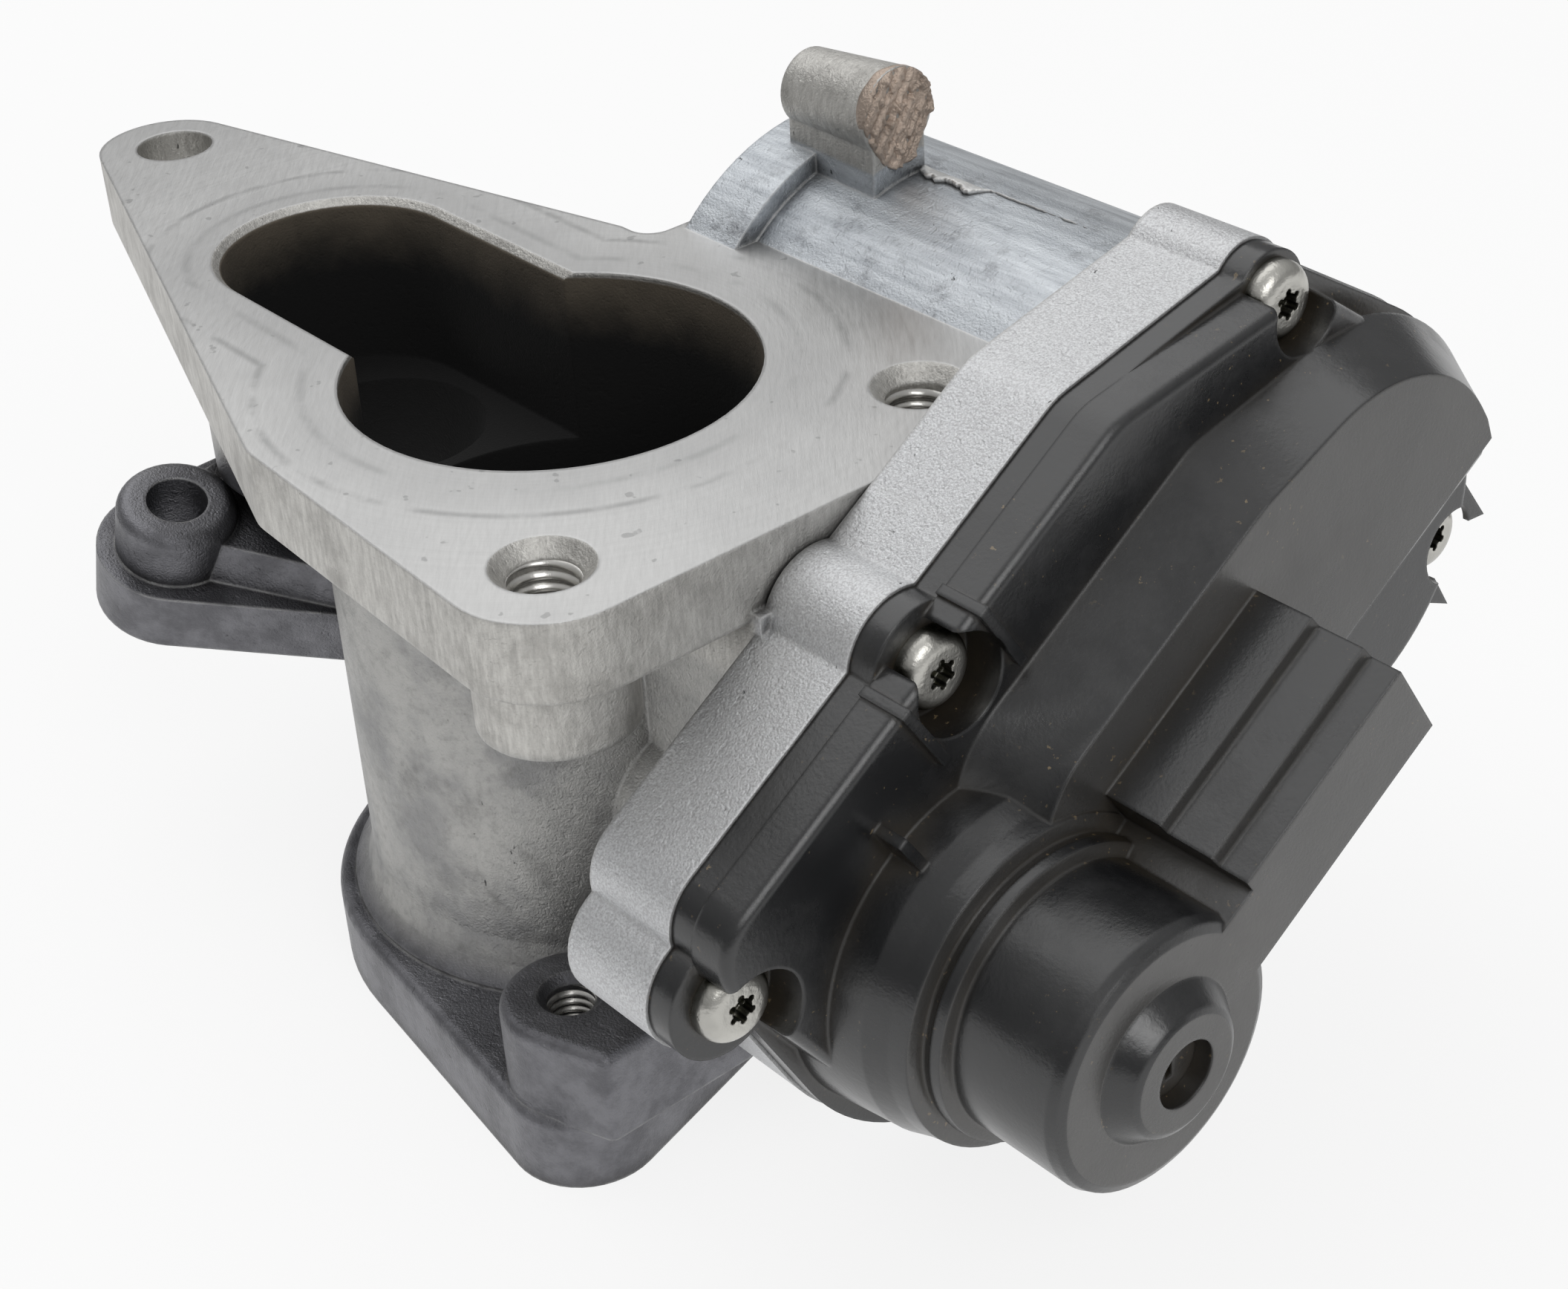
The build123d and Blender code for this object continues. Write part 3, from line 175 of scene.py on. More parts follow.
def edge_wear_group() -> bpy.types.NodeTree:
    """Build the group that finds worn outer edges.

    The wear is how far the normal turns inside a small radius: one minus the dot product of the
    rounded normal and the true one, scaled, and broken up by noise.

    Returns:
        The node group, with inputs Radius, Amount and Ragged and the output Wear.
    """
    inputs = {"Radius": 0.8 * MM, "Amount": 1.0, "Ragged": 0.5}
    graph, given, result = new_group("edge_wear", inputs, ("Wear",))
    place = graph.node("ShaderNodeTexCoord").outputs["Object"]
    rounded = graph.node("ShaderNodeBevel", {"samples": 4}, Radius=given.outputs["Radius"])
    true = graph.node("ShaderNodeNewGeometry").outputs["Normal"]
    dot = graph.node("ShaderNodeVectorMath", {"operation": "DOT_PRODUCT"}, i0=rounded.outputs[0], i1=true)
    turn = graph.minus(1.0, dot.outputs["Value"])
    patchy = graph.lerp(given.outputs["Ragged"], 1.0, graph.band(graph.noise(place, 420.0), 0.35, 0.65))
    wear = graph.times(graph.band(turn, 0.02, 0.16), patchy)
    graph.feed(result.inputs["Wear"], graph.times(wear, given.outputs["Amount"]))
    return graph.tree


def cast_grain_group() -> bpy.types.NodeTree:
    """Build the group that gives the skin of a sand-blasted casting.

    The height is fine grain plus slow hollows; the stain is where slow noise is high.

    Returns:
        The node group, with inputs Grain and Stain and outputs Height and Mask.
    """
    graph, given, result = new_group("cast_grain", {"Grain": 1.0, "Stain": 1.0}, ("Height", "Mask"))
    place = graph.node("ShaderNodeTexCoord").outputs["Object"]
    fine = graph.noise(place, 3800.0, 3.0, 0.6)
    pits = graph.band(graph.noise(place, 900.0, 2.0), 0.30, 0.42)
    grain = graph.times(fine, given.outputs["Grain"])
    height = graph.math("ADD", grain, graph.times(pits, 0.35))
    graph.feed(result.inputs["Height"], height)
    slow = graph.band(graph.noise(place, 60.0, 6.0, 0.65), 0.42, 0.66)
    graph.feed(result.inputs["Mask"], graph.times(slow, given.outputs["Stain"]))
    return graph.tree


def corner_dirt_and_shade_group() -> bpy.types.NodeTree:
    """Build the group that finds corners and recesses, where painted shade and dirt are laid.

    The mask is one minus the open share of the sky over a point, broken up by noise.

    Returns:
        The node group, with inputs Reach, Amount and Scale and the output Mask.
    """
    graph, given, result = new_group("corner_dirt_and_shade", {"Reach": 4 * MM, "Amount": 1.0, "Scale": 300.0}, ("Mask",))
    place = graph.node("ShaderNodeTexCoord").outputs["Object"]
    open_sky = graph.node("ShaderNodeAmbientOcclusion", {"samples": 8}, Distance=given.outputs["Reach"])
    closed = graph.minus(1.0, graph.band(open_sky.outputs["AO"], 0.35, 0.85))
    spread = graph.lerp(graph.noise(place, given.outputs["Scale"], 5.0, 0.7), 0.4, 1.6)
    dirt_and_shade = graph.times(closed, spread)
    graph.feed(result.inputs["Mask"], graph.times(dirt_and_shade, given.outputs["Amount"]))
    return graph.tree


EDGE_WEAR = edge_wear_group()
CAST_GRAIN = cast_grain_group()
CORNER_DIRT_AND_SHADE = corner_dirt_and_shade_group()


# ------------------------------------------------------------------ finishes
class Body(Enum):
    """The bodies that the scene's own pieces ride on."""

    HOUSING = "housing"


class Slot(Enum):
    """The record's finish slots, here only the cast aluminium."""

    CASTING = "cast_aluminium"


@dataclass(frozen=True)
class Pattern:
    """Fractal noise over a piece, in waves per metre."""

    waves: float
    detail: float = 3.0
    rough: float = 0.55

    def at(self, graph: Graph, place: object) -> bpy.types.NodeSocket:
        """Return the noise at a place, from 0 to 1."""
        return graph.noise(place, self.waves, self.detail, self.rough)


@dataclass(frozen=True)
class Streaks:
    """Noise drawn out along one direction.

    The place is turned, then scaled by squash along each axis; the smallest scale is the
    direction of the streaks. Waves are counted across them.
    """

    waves: float
    squash: Point
    turn: Point = (0.0, 0.0, 0.0)

    def at(self, graph: Graph, place: object) -> bpy.types.NodeSocket:
        """Return the noise at a place, from 0 to 1."""
        turned = graph.node("ShaderNodeMapping", None, Vector=place, Rotation=self.turn).outputs[0]
        drawn = graph.node("ShaderNodeMapping", None, Vector=turned, Scale=self.squash).outputs[0]
        return graph.noise(drawn, self.waves, 4.0, 0.7)


@dataclass(frozen=True)
class Stain:
    """Patches of a colour, where a pattern is high.

    The patches start where the pattern passes low and reach the share of the colour at high.
    """

    low: float
    high: float
    colour: Colour
    share: float = 1.0

    def over(self, graph: Graph, pattern: object, base: object,
             strength: object = 1.0) -> bpy.types.NodeSocket:
        """Return the base colour with the patches on it.

        Args:
            graph: the material's graph.
            pattern: the pattern's value.
            base: the colour underneath.
            strength: a further share, which may change over the surface.
        """
        mask = graph.times(graph.band(pattern, self.low, self.high), self.share, strength)
        return graph.blend(mask, base, self.colour)


@dataclass(frozen=True)
class Finish:
    """A plain finish with grain, speckle, painted shade and dirt in its corners, and worn edges."""

    name: str
    colour: Colour
    metal: float = 0.0
    rough: float = 0.5
    grain: float = 0.3
    grain_scale: float = 1800.0
    wear: float = 0.0
    wear_colour: Colour = (0.7, 0.7, 0.7)
    dirt_and_shade: float = 0.0
    dirt_and_shade_colour: Colour = (0.06, 0.045, 0.03)

    def material(self) -> bpy.types.Material:
        """Build the material, once.

        Returns:
            The material of this finish.
        """
        label = f"finish_{self.name}"
        made = bpy.data.materials.get(label)
        if made:
            return made
        made = bpy.data.materials.new(label)
        made.use_nodes = True
        graph = Graph(made.node_tree)
        shader = graph.node("ShaderNodeBsdfPrincipled")
        place = graph.node("ShaderNodeTexCoord").outputs["Object"]
        self.dress(graph, shader, place)
        output = graph.node("ShaderNodeOutputMaterial")
        graph.feed(output.inputs["Surface"], shader.outputs[0])
        return made

    def worn(self, graph: Graph, radius: float = 0.6 * MM) -> bpy.types.NodeSocket:
        """Return the wear mask of this finish."""
        group = graph.node("ShaderNodeGroup", {"node_tree": EDGE_WEAR}, Radius=radius, Amount=self.wear,
                           Ragged=0.6)
        return group.outputs["Wear"]

    def corner_dirt_and_shade(self, graph: Graph, reach: float, scale: float) -> bpy.types.NodeSocket:
        """Return the mask of this finish's corners, for painted shade and dirt."""
        group = graph.node("ShaderNodeGroup", {"node_tree": CORNER_DIRT_AND_SHADE}, Reach=reach, Amount=self.dirt_and_shade,
                           Scale=scale)
        return graph.math("MINIMUM", group.outputs["Mask"], 1.0)

    def bump(self, graph: Graph, shader: bpy.types.Node, height: object, depth: float,
             edge: float) -> None:
        """Feed the shader's normal with rounded edges and a height.

        Args:
            graph: the material's graph.
            shader: its Principled shader.
            height: the height, from 0 to 1.
            depth: what a height of 1 means, in metres.
            edge: the radius that edges are rounded to.
        """
        rounded = graph.node("ShaderNodeBevel", {"samples": 4}, Radius=edge)
        bump = graph.node("ShaderNodeBump", None, Strength=self.grain, Distance=depth, Height=height,
                          Normal=rounded.outputs[0])
        graph.feed(shader.inputs["Normal"], bump.outputs[0])

    def dress(self, graph: Graph, shader: bpy.types.Node, place: bpy.types.NodeSocket) -> None:
        """Fill the shader's sockets.

        Args:
            graph: the material's graph.
            shader: its Principled shader.
            place: the Object coordinates.
        """
        patch = graph.noise(place, self.grain_scale / 12, 4.0)
        dark = tuple(channel * 0.7 for channel in self.colour)
        base = graph.blend(graph.band(patch, 0.3, 0.7), dark, self.colour)
        # painted shade with dirt: corners and recesses are blended towards the dark corner colour
        if self.dirt_and_shade:
            base = graph.blend(self.corner_dirt_and_shade(graph, 2.5 * MM, 900.0), base, self.dirt_and_shade_colour)
        if self.wear:
            base = graph.blend(self.worn(graph), base, self.wear_colour)
        graph.feed(shader.inputs["Base Color"], base)
        shader.inputs["Metallic"].default_value = self.metal
        spread = graph.times(graph.minus(patch, 0.5), 0.3)
        graph.feed(shader.inputs["Roughness"], graph.math("ADD", spread, self.rough))
        grains = graph.noise(place, self.grain_scale, 3.0, 0.6)
        self.bump(graph, shader, grains, 0.2 * MM, 0.2 * MM)


@dataclass(frozen=True)
class CastBody(Finish):
    """Cast aluminium: each stretch of the casting with its own skin.

    The stretches are found by place: the machined top face and its flank, the blasted gear
    housing, the smooth motor barrel, the stained tube, the dark lower and gas flanges, and the
    sooted gas way inside.
    """

    # where the stretches lie
    top_z: float = 68 * MM
    flank_z: tuple[float, float] = (51 * MM, 53 * MM)
    housing_x: float = 41 * MM
    bore_r: float = 21.5 * MM
    slot_x: float = -40.1 * MM
    slot_y: float = 1.0 * MM
    slot_r: float = 13.0 * MM
    slot_floor: float = 48 * MM
    lower_top: float = 8.6 * MM
    boss_top: float = 18.5 * MM
    boss_from_r: tuple[float, float] = (28.5 * MM, 29.5 * MM)
    gas_x: float = -17 * MM
    gas_top: float = 47 * MM
    gas_from_r: tuple[float, float] = (25.6 * MM, 27.5 * MM)
    gas_port: Point = (-34.7 * MM, 1.0 * MM, 48 * MM)
    gas_lean: tuple[float, float] = (0.342, 0.940)
    gas_r: float = 11.1 * MM
    motor_axis: tuple[float, float] = (49.465 * MM, 50.011 * MM)
    motor_r: float = 26.6 * MM
    motor_y: tuple[float, float] = (26 * MM, 27 * MM)
    motor_low_z: float = 66 * MM
    # their colours
    milled: Colour = (0.60, 0.60, 0.595)
    milled_dark: Colour = (0.47, 0.47, 0.465)
    flank: Colour = (0.64, 0.63, 0.60)
    flank_dark: Colour = (0.44, 0.43, 0.41)
    blasted: Colour = (0.70, 0.71, 0.72)
    blasted_dark: Colour = (0.52, 0.52, 0.53)
    barrel: Colour = (0.63, 0.66, 0.69)
    barrel_dark: Colour = (0.41, 0.435, 0.465)
    oily: Colour = (0.13, 0.13, 0.14)
    soot: Colour = (0.002, 0.002, 0.002)
    scorch: Colour = (0.12, 0.10, 0.075)
    # the patterns and what they leave
    sparkle: Pattern = Pattern(4400.0, 2.0, 0.6)
    mottle: Pattern = Pattern(190.0, 6.0, 0.68)
    specks: Pattern = Pattern(900.0, 4.0, 0.7)
    blots: Pattern = Pattern(150.0, 7.0, 0.78)
    smears: Pattern = Pattern(42.0, 5.0, 0.62)
    gaps: Pattern = Pattern(110.0, 4.0, 0.6)
    nicks: Pattern = Pattern(520.0, 2.0, 0.5)
    arcs: Pattern = Pattern(1500.0, 3.0, 0.7)
    charring: Pattern = Pattern(160.0, 4.0, 0.6)
    brushing: Streaks = Streaks(2400.0, (0.12, 1.0, 1.0), (0.0, 0.0, 0.72))
    upright: Streaks = Streaks(1700.0, (1.0, 1.0, 0.22))
    along: Streaks = Streaks(700.0, (0.10, 1.0, 1.0))
    pores: Streaks = Streaks(620.0, (1.0, 1.0, 0.4), (0.3, 0.2, 0.1))
    tube_patch: Stain = Stain(0.50, 0.80, (0.17, 0.17, 0.165), 0.65)
    tube_speck: Stain = Stain(0.45, 0.75, (0.22, 0.22, 0.21), 0.45)
    flank_patch: Stain = Stain(0.45, 0.7, (0.29, 0.28, 0.265), 0.5)
    barrel_blot: Stain = Stain(0.51, 0.68, (0.10, 0.10, 0.11))
    oily_patch: Stain = Stain(0.35, 0.65, (0.21, 0.21, 0.225))
    pore: Stain = Stain(0.69, 0.73, (0.03, 0.03, 0.03), 0.85)
    smear: Stain = Stain(0.38, 0.68, (0.40, 0.40, 0.40), 0.35)
    nick: Stain = Stain(0.70, 0.74, (0.12, 0.12, 0.12), 0.35)
    # the gasket's lines: how far from the opening's edge, half as wide as, and how dark
    gasket: tuple[Point, ...] = ((3.6 * MM, 0.45 * MM, 0.30), (8.4 * MM, 0.4 * MM, 0.42))
    gasket_colour: Colour = (0.16, 0.16, 0.16)
    rub_colour: Colour = (0.30, 0.30, 0.30)

    def slot_distance(self, graph: Graph, x: object, y: object) -> bpy.types.NodeSocket:
        """Return the plan distance to the middle line of the gas slot."""
        nearest = graph.math("MINIMUM", graph.math("MAXIMUM", x, self.slot_x), 0.0)
        return graph.length(graph.minus(x, nearest), graph.minus(y, self.slot_y))

    def inside(self, graph: Graph, parts: tuple[object, object, object], radius: object,
               slot: object) -> bpy.types.NodeSocket:
        """Return the mask of the gas way: main bore, slot and tilted gas port.

        Args:
            graph: the material's graph.
            parts: x, y and z.
            radius: the distance from the bore's axis.
            slot: the distance from the slot's middle line.
        """
        x, y, z = parts
        skin, edge = 0.15 * MM, 0.08 * MM
        under = graph.below(z, self.top_z - 0.5 * MM, 0.2 * MM)
        bore = graph.times(graph.below(radius, self.bore_r + skin, edge), under)
        above_floor = graph.band(z, self.slot_floor - 0.2 * MM, self.slot_floor)
        pocket = graph.times(graph.below(slot, self.slot_r + skin, edge), above_floor, under)
        # across the port: the distance from its plane of symmetry, at right angles to its axis
        gx, gy, gz = self.gas_port
        lean_x, lean_z = self.gas_lean
        across = graph.minus(graph.times(graph.minus(x, gx), lean_z),
                             graph.times(graph.minus(z, gz), lean_x))
        port = graph.below(graph.length(across, graph.minus(y, gy)), self.gas_r, 0.05 * MM)
        port = graph.times(port, graph.below(z, self.slot_floor + 1 * MM))
        return graph.math("MAXIMUM", graph.math("MAXIMUM", bore, pocket), port)

    def dress(self, graph: Graph, shader: bpy.types.Node, place: bpy.types.NodeSocket) -> None:
        """Fill the shader's sockets; see Finish.dress for the arguments."""
        x, y, z = graph.parts(place)
        up = graph.parts(graph.node("ShaderNodeNewGeometry").outputs["Normal"])[2]
        radius = graph.length(x, y)
        slot = self.slot_distance(graph, x, y)
        grain = graph.node("ShaderNodeGroup", {"node_tree": CAST_GRAIN}, Grain=1.0, Stain=1.0)
        skin, rough = self.skin(graph, place, (x, y, z), radius, grain.outputs["Mask"])
        # machined top face
        machined = graph.times(graph.band(z, self.top_z - 0.3 * MM, self.top_z - 0.1 * MM),
                               graph.band(up, 0.8, 0.95), graph.below(z, self.top_z + 0.4 * MM, 0.2 * MM))
        face, marks = self.top_face(graph, place, radius, slot)
        base = graph.blend(machined, skin, face)
        # painted shade with dirt: corners and recesses off the machined face are darkened towards near
        # black
        corner_dirt_and_shade = graph.times(self.corner_dirt_and_shade(graph, 3.5 * MM, 260.0), graph.minus(1.0, machined))
        base = graph.blend(corner_dirt_and_shade, base, self.dirt_and_shade_colour)
        base = graph.blend(self.worn(graph, 0.5 * MM), base, self.wear_colour)
        # sooted gas way, scorched brown near the top rim
        inside = self.inside(graph, (x, y, z), radius, slot)
        ragged = graph.math("ADD", z, graph.times(self.charring.at(graph, place), 6 * MM))
        char = graph.blend(graph.band(ragged, 62 * MM, 72 * MM), self.soot, self.scorch)
        graph.feed(shader.inputs["Base Color"], graph.blend(inside, base, char))
        graph.feed(shader.inputs["Metallic"], graph.lerp(inside, self.metal, 0.0))
        rough = graph.lerp(machined, rough, graph.math("ADD", 0.26, graph.times(marks, 0.22)))
        graph.feed(shader.inputs["Roughness"], graph.lerp(inside, rough, 0.9))
        height = graph.lerp(machined, grain.outputs["Height"], graph.times(marks, 0.35))
        self.bump(graph, shader, height, 0.22 * MM, 0.6 * MM)

    def top_face(self, graph: Graph, place: object, radius: object,
                 slot: object) -> tuple[bpy.types.NodeSocket, bpy.types.NodeSocket]:
        """Return the colour and the marks of the machined face.

        Mill arcs run round the bore, brush streaks cross them, and a gasket has left two lines
        that follow the edge of the bore and the slot.

        Args:
            graph: the material's graph.
            place: the Object coordinates.
            radius: the distance from the bore's axis.
            slot: the distance from the slot's middle line.
        """
        ring = graph.node("ShaderNodeCombineXYZ", None, X=radius).outputs[0]
        marks = graph.lerp(0.35, self.brushing.at(graph, place), self.arcs.at(graph, ring))
        face = graph.blend(graph.band(marks, 0.2, 0.8), self.milled_dark, self.milled)
        face = self.smear.over(graph, self.smears.at(graph, place), face)
        edge = graph.math("MINIMUM", graph.minus(radius, self.bore_r), graph.minus(slot, self.slot_r))
        kept = graph.band(self.gaps.at(graph, place), 0.40, 0.60)
        for away, width, share in self.gasket:
            off = graph.math("ABSOLUTE", graph.minus(edge, away))
            line = graph.times(graph.below(off, width, width), kept, share)
            face = graph.blend(line, face, self.gasket_colour)
        rub = graph.times(graph.below(edge, 6 * MM, 4 * MM), 0.25)
        face = graph.blend(rub, face, self.rub_colour)
        return self.nick.over(graph, self.nicks.at(graph, place), face), marks

    def skin(self, graph: Graph, place: object, parts: tuple[object, object, object], radius: object,
             stained: object) -> tuple[bpy.types.NodeSocket, bpy.types.NodeSocket]:
        """Return the colour and roughness of the cast skin.

        Args:
            graph: the material's graph.
            place: the Object coordinates.
            parts: their x, y and z.
            radius: the distance from the bore's axis.
            stained: the mask of the casting's slow stains.
        """
        x, y, z = parts
        mottle = self.mottle.at(graph, place)
        # tube: grey, blotched and speckled
        skin = graph.blend(stained, self.colour, (0.30, 0.30, 0.30))
        skin = self.tube_patch.over(graph, mottle, skin)
        skin = self.tube_speck.over(graph, self.specks.at(graph, place), skin)
        rough = graph.math("ADD", self.rough, graph.times(mottle, 0.15))
        # flank of the top flange: upright streaks, a little warmer
        upright = graph.band(self.upright.at(graph, place), 0.25, 0.75)
        flank = graph.blend(upright, self.flank_dark, self.flank)
        flank = self.flank_patch.over(graph, mottle, flank)
        skin = graph.blend(graph.band(z, *self.flank_z), skin, flank)
        # motor barrel: smooth and bright, streaked along its length, with blots lower down
        my, mz = self.motor_axis
        from_motor = graph.length(graph.minus(y, my), graph.minus(z, mz))
        at_barrel = graph.times(graph.below(from_motor, self.motor_r), graph.band(y, *self.motor_y))
        along = graph.band(self.along.at(graph, place), 0.30, 0.70)
        barrel = graph.blend(along, self.barrel_dark, self.barrel)
        low_side = graph.lerp(graph.below(z, self.motor_low_z, 6 * MM), 0.45, 0.9)
        barrel = self.barrel_blot.over(graph, self.blots.at(graph, place), barrel, low_side)
        skin = graph.blend(at_barrel, skin, barrel)
        rough = graph.lerp(at_barrel, rough, 0.46)
        # gear housing: blasted and clean, with a sparkle
        at_housing = graph.band(x, self.housing_x - 0.5 * MM, self.housing_x + 0.5 * MM)
        sparkle = graph.band(self.sparkle.at(graph, place), 0.32, 0.66)
        skin = graph.blend(at_housing, skin, graph.blend(sparkle, self.blasted_dark, self.blasted))
        rough = graph.lerp(at_housing, rough, 0.52)
        # lower flange, its bosses and the gas flange: smooth, dark and oily
        low = graph.below(z, self.lower_top + 1.6 * MM, 1.4 * MM)
        boss = graph.times(graph.band(radius, *self.boss_from_r), graph.below(z, self.boss_top + 1 * MM))
        gas = graph.times(graph.below(x, self.gas_x, 1 * MM), graph.below(z, self.gas_top, 2 * MM),
                          graph.band(radius, *self.gas_from_r))
        oily = graph.math("MAXIMUM", graph.math("MAXIMUM", low, boss), gas)
        oily = graph.times(oily, graph.minus(1.0, at_housing))
        skin = graph.blend(oily, skin, self.oily_patch.over(graph, mottle, self.oily))
        skin = self.pore.over(graph, self.pores.at(graph, place), skin)
        return skin, graph.lerp(oily, rough, 0.40)


@dataclass(frozen=True)
class MouldedCover(Finish):
    """Glass-filled black plastic: satin, wiped in patches, with brown dust in its corners and a painted
    sheen on its outermost faces.
    """

    wiping: Pattern = Pattern(55.0, 6.0, 0.7)
    wiped: Stain = Stain(0.46, 0.74, (0.035, 0.035, 0.036), 0.45)
    film_and_sheen_patches: Pattern = Pattern(38.0, 5.0, 0.6)
    film_and_sheen: Colour = (0.062, 0.060, 0.057)
    film_and_sheen_x: tuple[float, float] = (63 * MM, 67 * MM)
    speckles: Pattern = Pattern(1300.0, 3.0, 0.6)
    speckle_colour: Colour = (0.30, 0.22, 0.12)
    gathering: Pattern = Pattern(70.0, 3.0, 0.6)
    ripple: Pattern = Pattern(160.0, 3.0, 0.5)
    ripple_height: float = 3.0
    ior: float = 1.68

    def dress(self, graph: Graph, shader: bpy.types.Node, place: bpy.types.NodeSocket) -> None:
        """Fill the shader's sockets; see Finish.dress for the arguments."""
        wiping = self.wiping.at(graph, place)
        base = self.wiped.over(graph, wiping, self.colour)
        # painted sheen with a greasy film: the outermost flat faces that face +X are lighter grey in
        # patches, painted for their reflection of the pale floor
        outward = graph.parts(graph.node("ShaderNodeNewGeometry").outputs["Normal"])[0]
        outermost = graph.band(graph.parts(place)[0], *self.film_and_sheen_x)
        patchy = graph.lerp(graph.band(self.film_and_sheen_patches.at(graph, place), 0.3, 0.7), 0.55, 1.0)
        film_and_sheen = graph.times(graph.band(outward, 0.90, 0.985), outermost, patchy)
        base = graph.blend(film_and_sheen, base, self.film_and_sheen)
        # dust in the corners, and specks of it that gather there and in patches
        corner_dirt_and_shade = self.corner_dirt_and_shade(graph, 5 * MM, 420.0)
        base = graph.blend(corner_dirt_and_shade, base, self.dirt_and_shade_colour)
        gather = graph.band(self.gathering.at(graph, place), 0.48, 0.66)
        speckle = graph.times(graph.band(self.speckles.at(graph, place), 0.66, 0.70),
                              graph.math("ADD", graph.times(gather, 0.6), corner_dirt_and_shade))
        base = graph.blend(graph.math("MINIMUM", speckle, 0.8), base, self.speckle_colour)
        base = graph.blend(self.worn(graph, 0.5 * MM), base, self.wear_colour)
        graph.feed(shader.inputs["Base Color"], base)
        shader.inputs["IOR"].default_value = self.ior
        matt = graph.math("ADD", self.rough, graph.times(graph.band(wiping, 0.46, 0.74), 0.14))
        graph.feed(shader.inputs["Roughness"], graph.math("ADD", matt, graph.times(corner_dirt_and_shade, 0.25)))
        grains = graph.noise(place, self.grain_scale, 3.0, 0.6)
        height = graph.math("ADD", grains, graph.times(self.ripple.at(graph, place), self.ripple_height))
        self.bump(graph, shader, height, 0.06 * MM, 0.5 * MM)


CAST = CastBody("cast_aluminium", (0.46, 0.455, 0.44), metal=0.9, rough=0.40, grain=0.5, wear=0.5,
                wear_colour=(0.80, 0.80, 0.79), dirt_and_shade=0.75, dirt_and_shade_colour=(0.035, 0.033, 0.03))
COVER = MouldedCover("cover_plastic", (0.009, 0.0095, 0.0105), rough=0.25, grain=0.35,
                     grain_scale=2400.0, wear=0.35, wear_colour=(0.07, 0.07, 0.07), dirt_and_shade=0.45,
                     dirt_and_shade_colour=(0.055, 0.042, 0.025))
ZINC = Finish("zinc_screws", (0.60, 0.59, 0.55), metal=0.95, rough=0.32, grain=0.3, wear=0.4,
              wear_colour=(0.8, 0.78, 0.7), dirt_and_shade=1.0, dirt_and_shade_colour=(0.035, 0.035, 0.02))
THREAD = Finish("cut_thread", (0.72, 0.71, 0.68), metal=1.0, rough=0.26, grain=0.1, dirt_and_shade=0.35)
BROKEN = Finish("broken_metal", (0.60, 0.49, 0.41), metal=0.75, rough=0.42, grain=1.0, grain_scale=3000.0,
                dirt_and_shade=0.35, dirt_and_shade_colour=(0.26, 0.17, 0.12))
FLASH = Finish("casting_flash", (0.80, 0.80, 0.79), metal=0.8, rough=0.45, grain=0.6, dirt_and_shade=0.35,
               dirt_and_shade_colour=(0.03, 0.03, 0.03))
STEEL = Finish("ground_steel", (0.52, 0.51, 0.50), metal=1.0, rough=0.3, grain=0.15)
SOOTED = Finish("sooted_steel", (0.06, 0.058, 0.055), metal=0.6, rough=0.5, grain=0.6, wear=0.8,
                wear_colour=(0.30, 0.29, 0.27))
BRONZE = Finish("sintered_bronze", (0.40, 0.28, 0.15), metal=1.0, rough=0.5, grain=0.5)
NYLON = Finish("gear_nylon", (0.62, 0.60, 0.52), rough=0.45, grain=0.15)
RUBBER = Finish("seal_rubber", (0.03, 0.03, 0.03), rough=0.7, grain=0.3)
MAGNET = Finish("sintered_magnet", (0.09, 0.09, 0.10), metal=0.7, rough=0.5, grain=0.4)
DRAWN = Finish("drawn_can", (0.50, 0.50, 0.51), metal=1.0, rough=0.32, grain=0.1)
COPPER = Finish("copper", (0.62, 0.28, 0.14), metal=1.0, rough=0.35, grain=0.4)
CARBON = Finish("carbon", (0.04, 0.04, 0.04), rough=0.6, grain=0.3)
BRASS = Finish("turned_brass", (0.70, 0.52, 0.22), metal=1.0, rough=0.3, grain=0.1)
BOARD = Finish("circuit_board", (0.02, 0.16, 0.06), rough=0.4, grain=0.1)

NODE_FINISHES: dict[str, Finish] = {
    "valve_body": CAST, "gear_cover": COVER, "cover_seal": RUBBER, "cover_screws": ZINC,
    "dome_plug": COVER, "flap_plate": SOOTED, "flap_shaft": SOOTED, "flap_screws": SOOTED,
    "far_bush": BRONZE, "near_bush": BRONZE, "shaft_seal": RUBBER, "output_gear": NYLON,
    "sensor_magnet": MAGNET, "idler_gear": NYLON, "idler_pin": STEEL, "return_spring": STEEL,
    "motor_can": DRAWN, "motor_magnets": MAGNET, "armature": DRAWN, "windings": COPPER,
    "commutator": COPPER, "motor_shaft": STEEL, "rear_bearing": BRONZE, "front_bearing": BRONZE,
    "brush_plate": COVER, "brushes": CARBON, "motor_screws": ZINC, "motor_contacts": COPPER,
    "motor_pinion": BRASS, "sensor_board": BOARD, "connector_pins": BRASS, "stop_pin": STEEL,
}


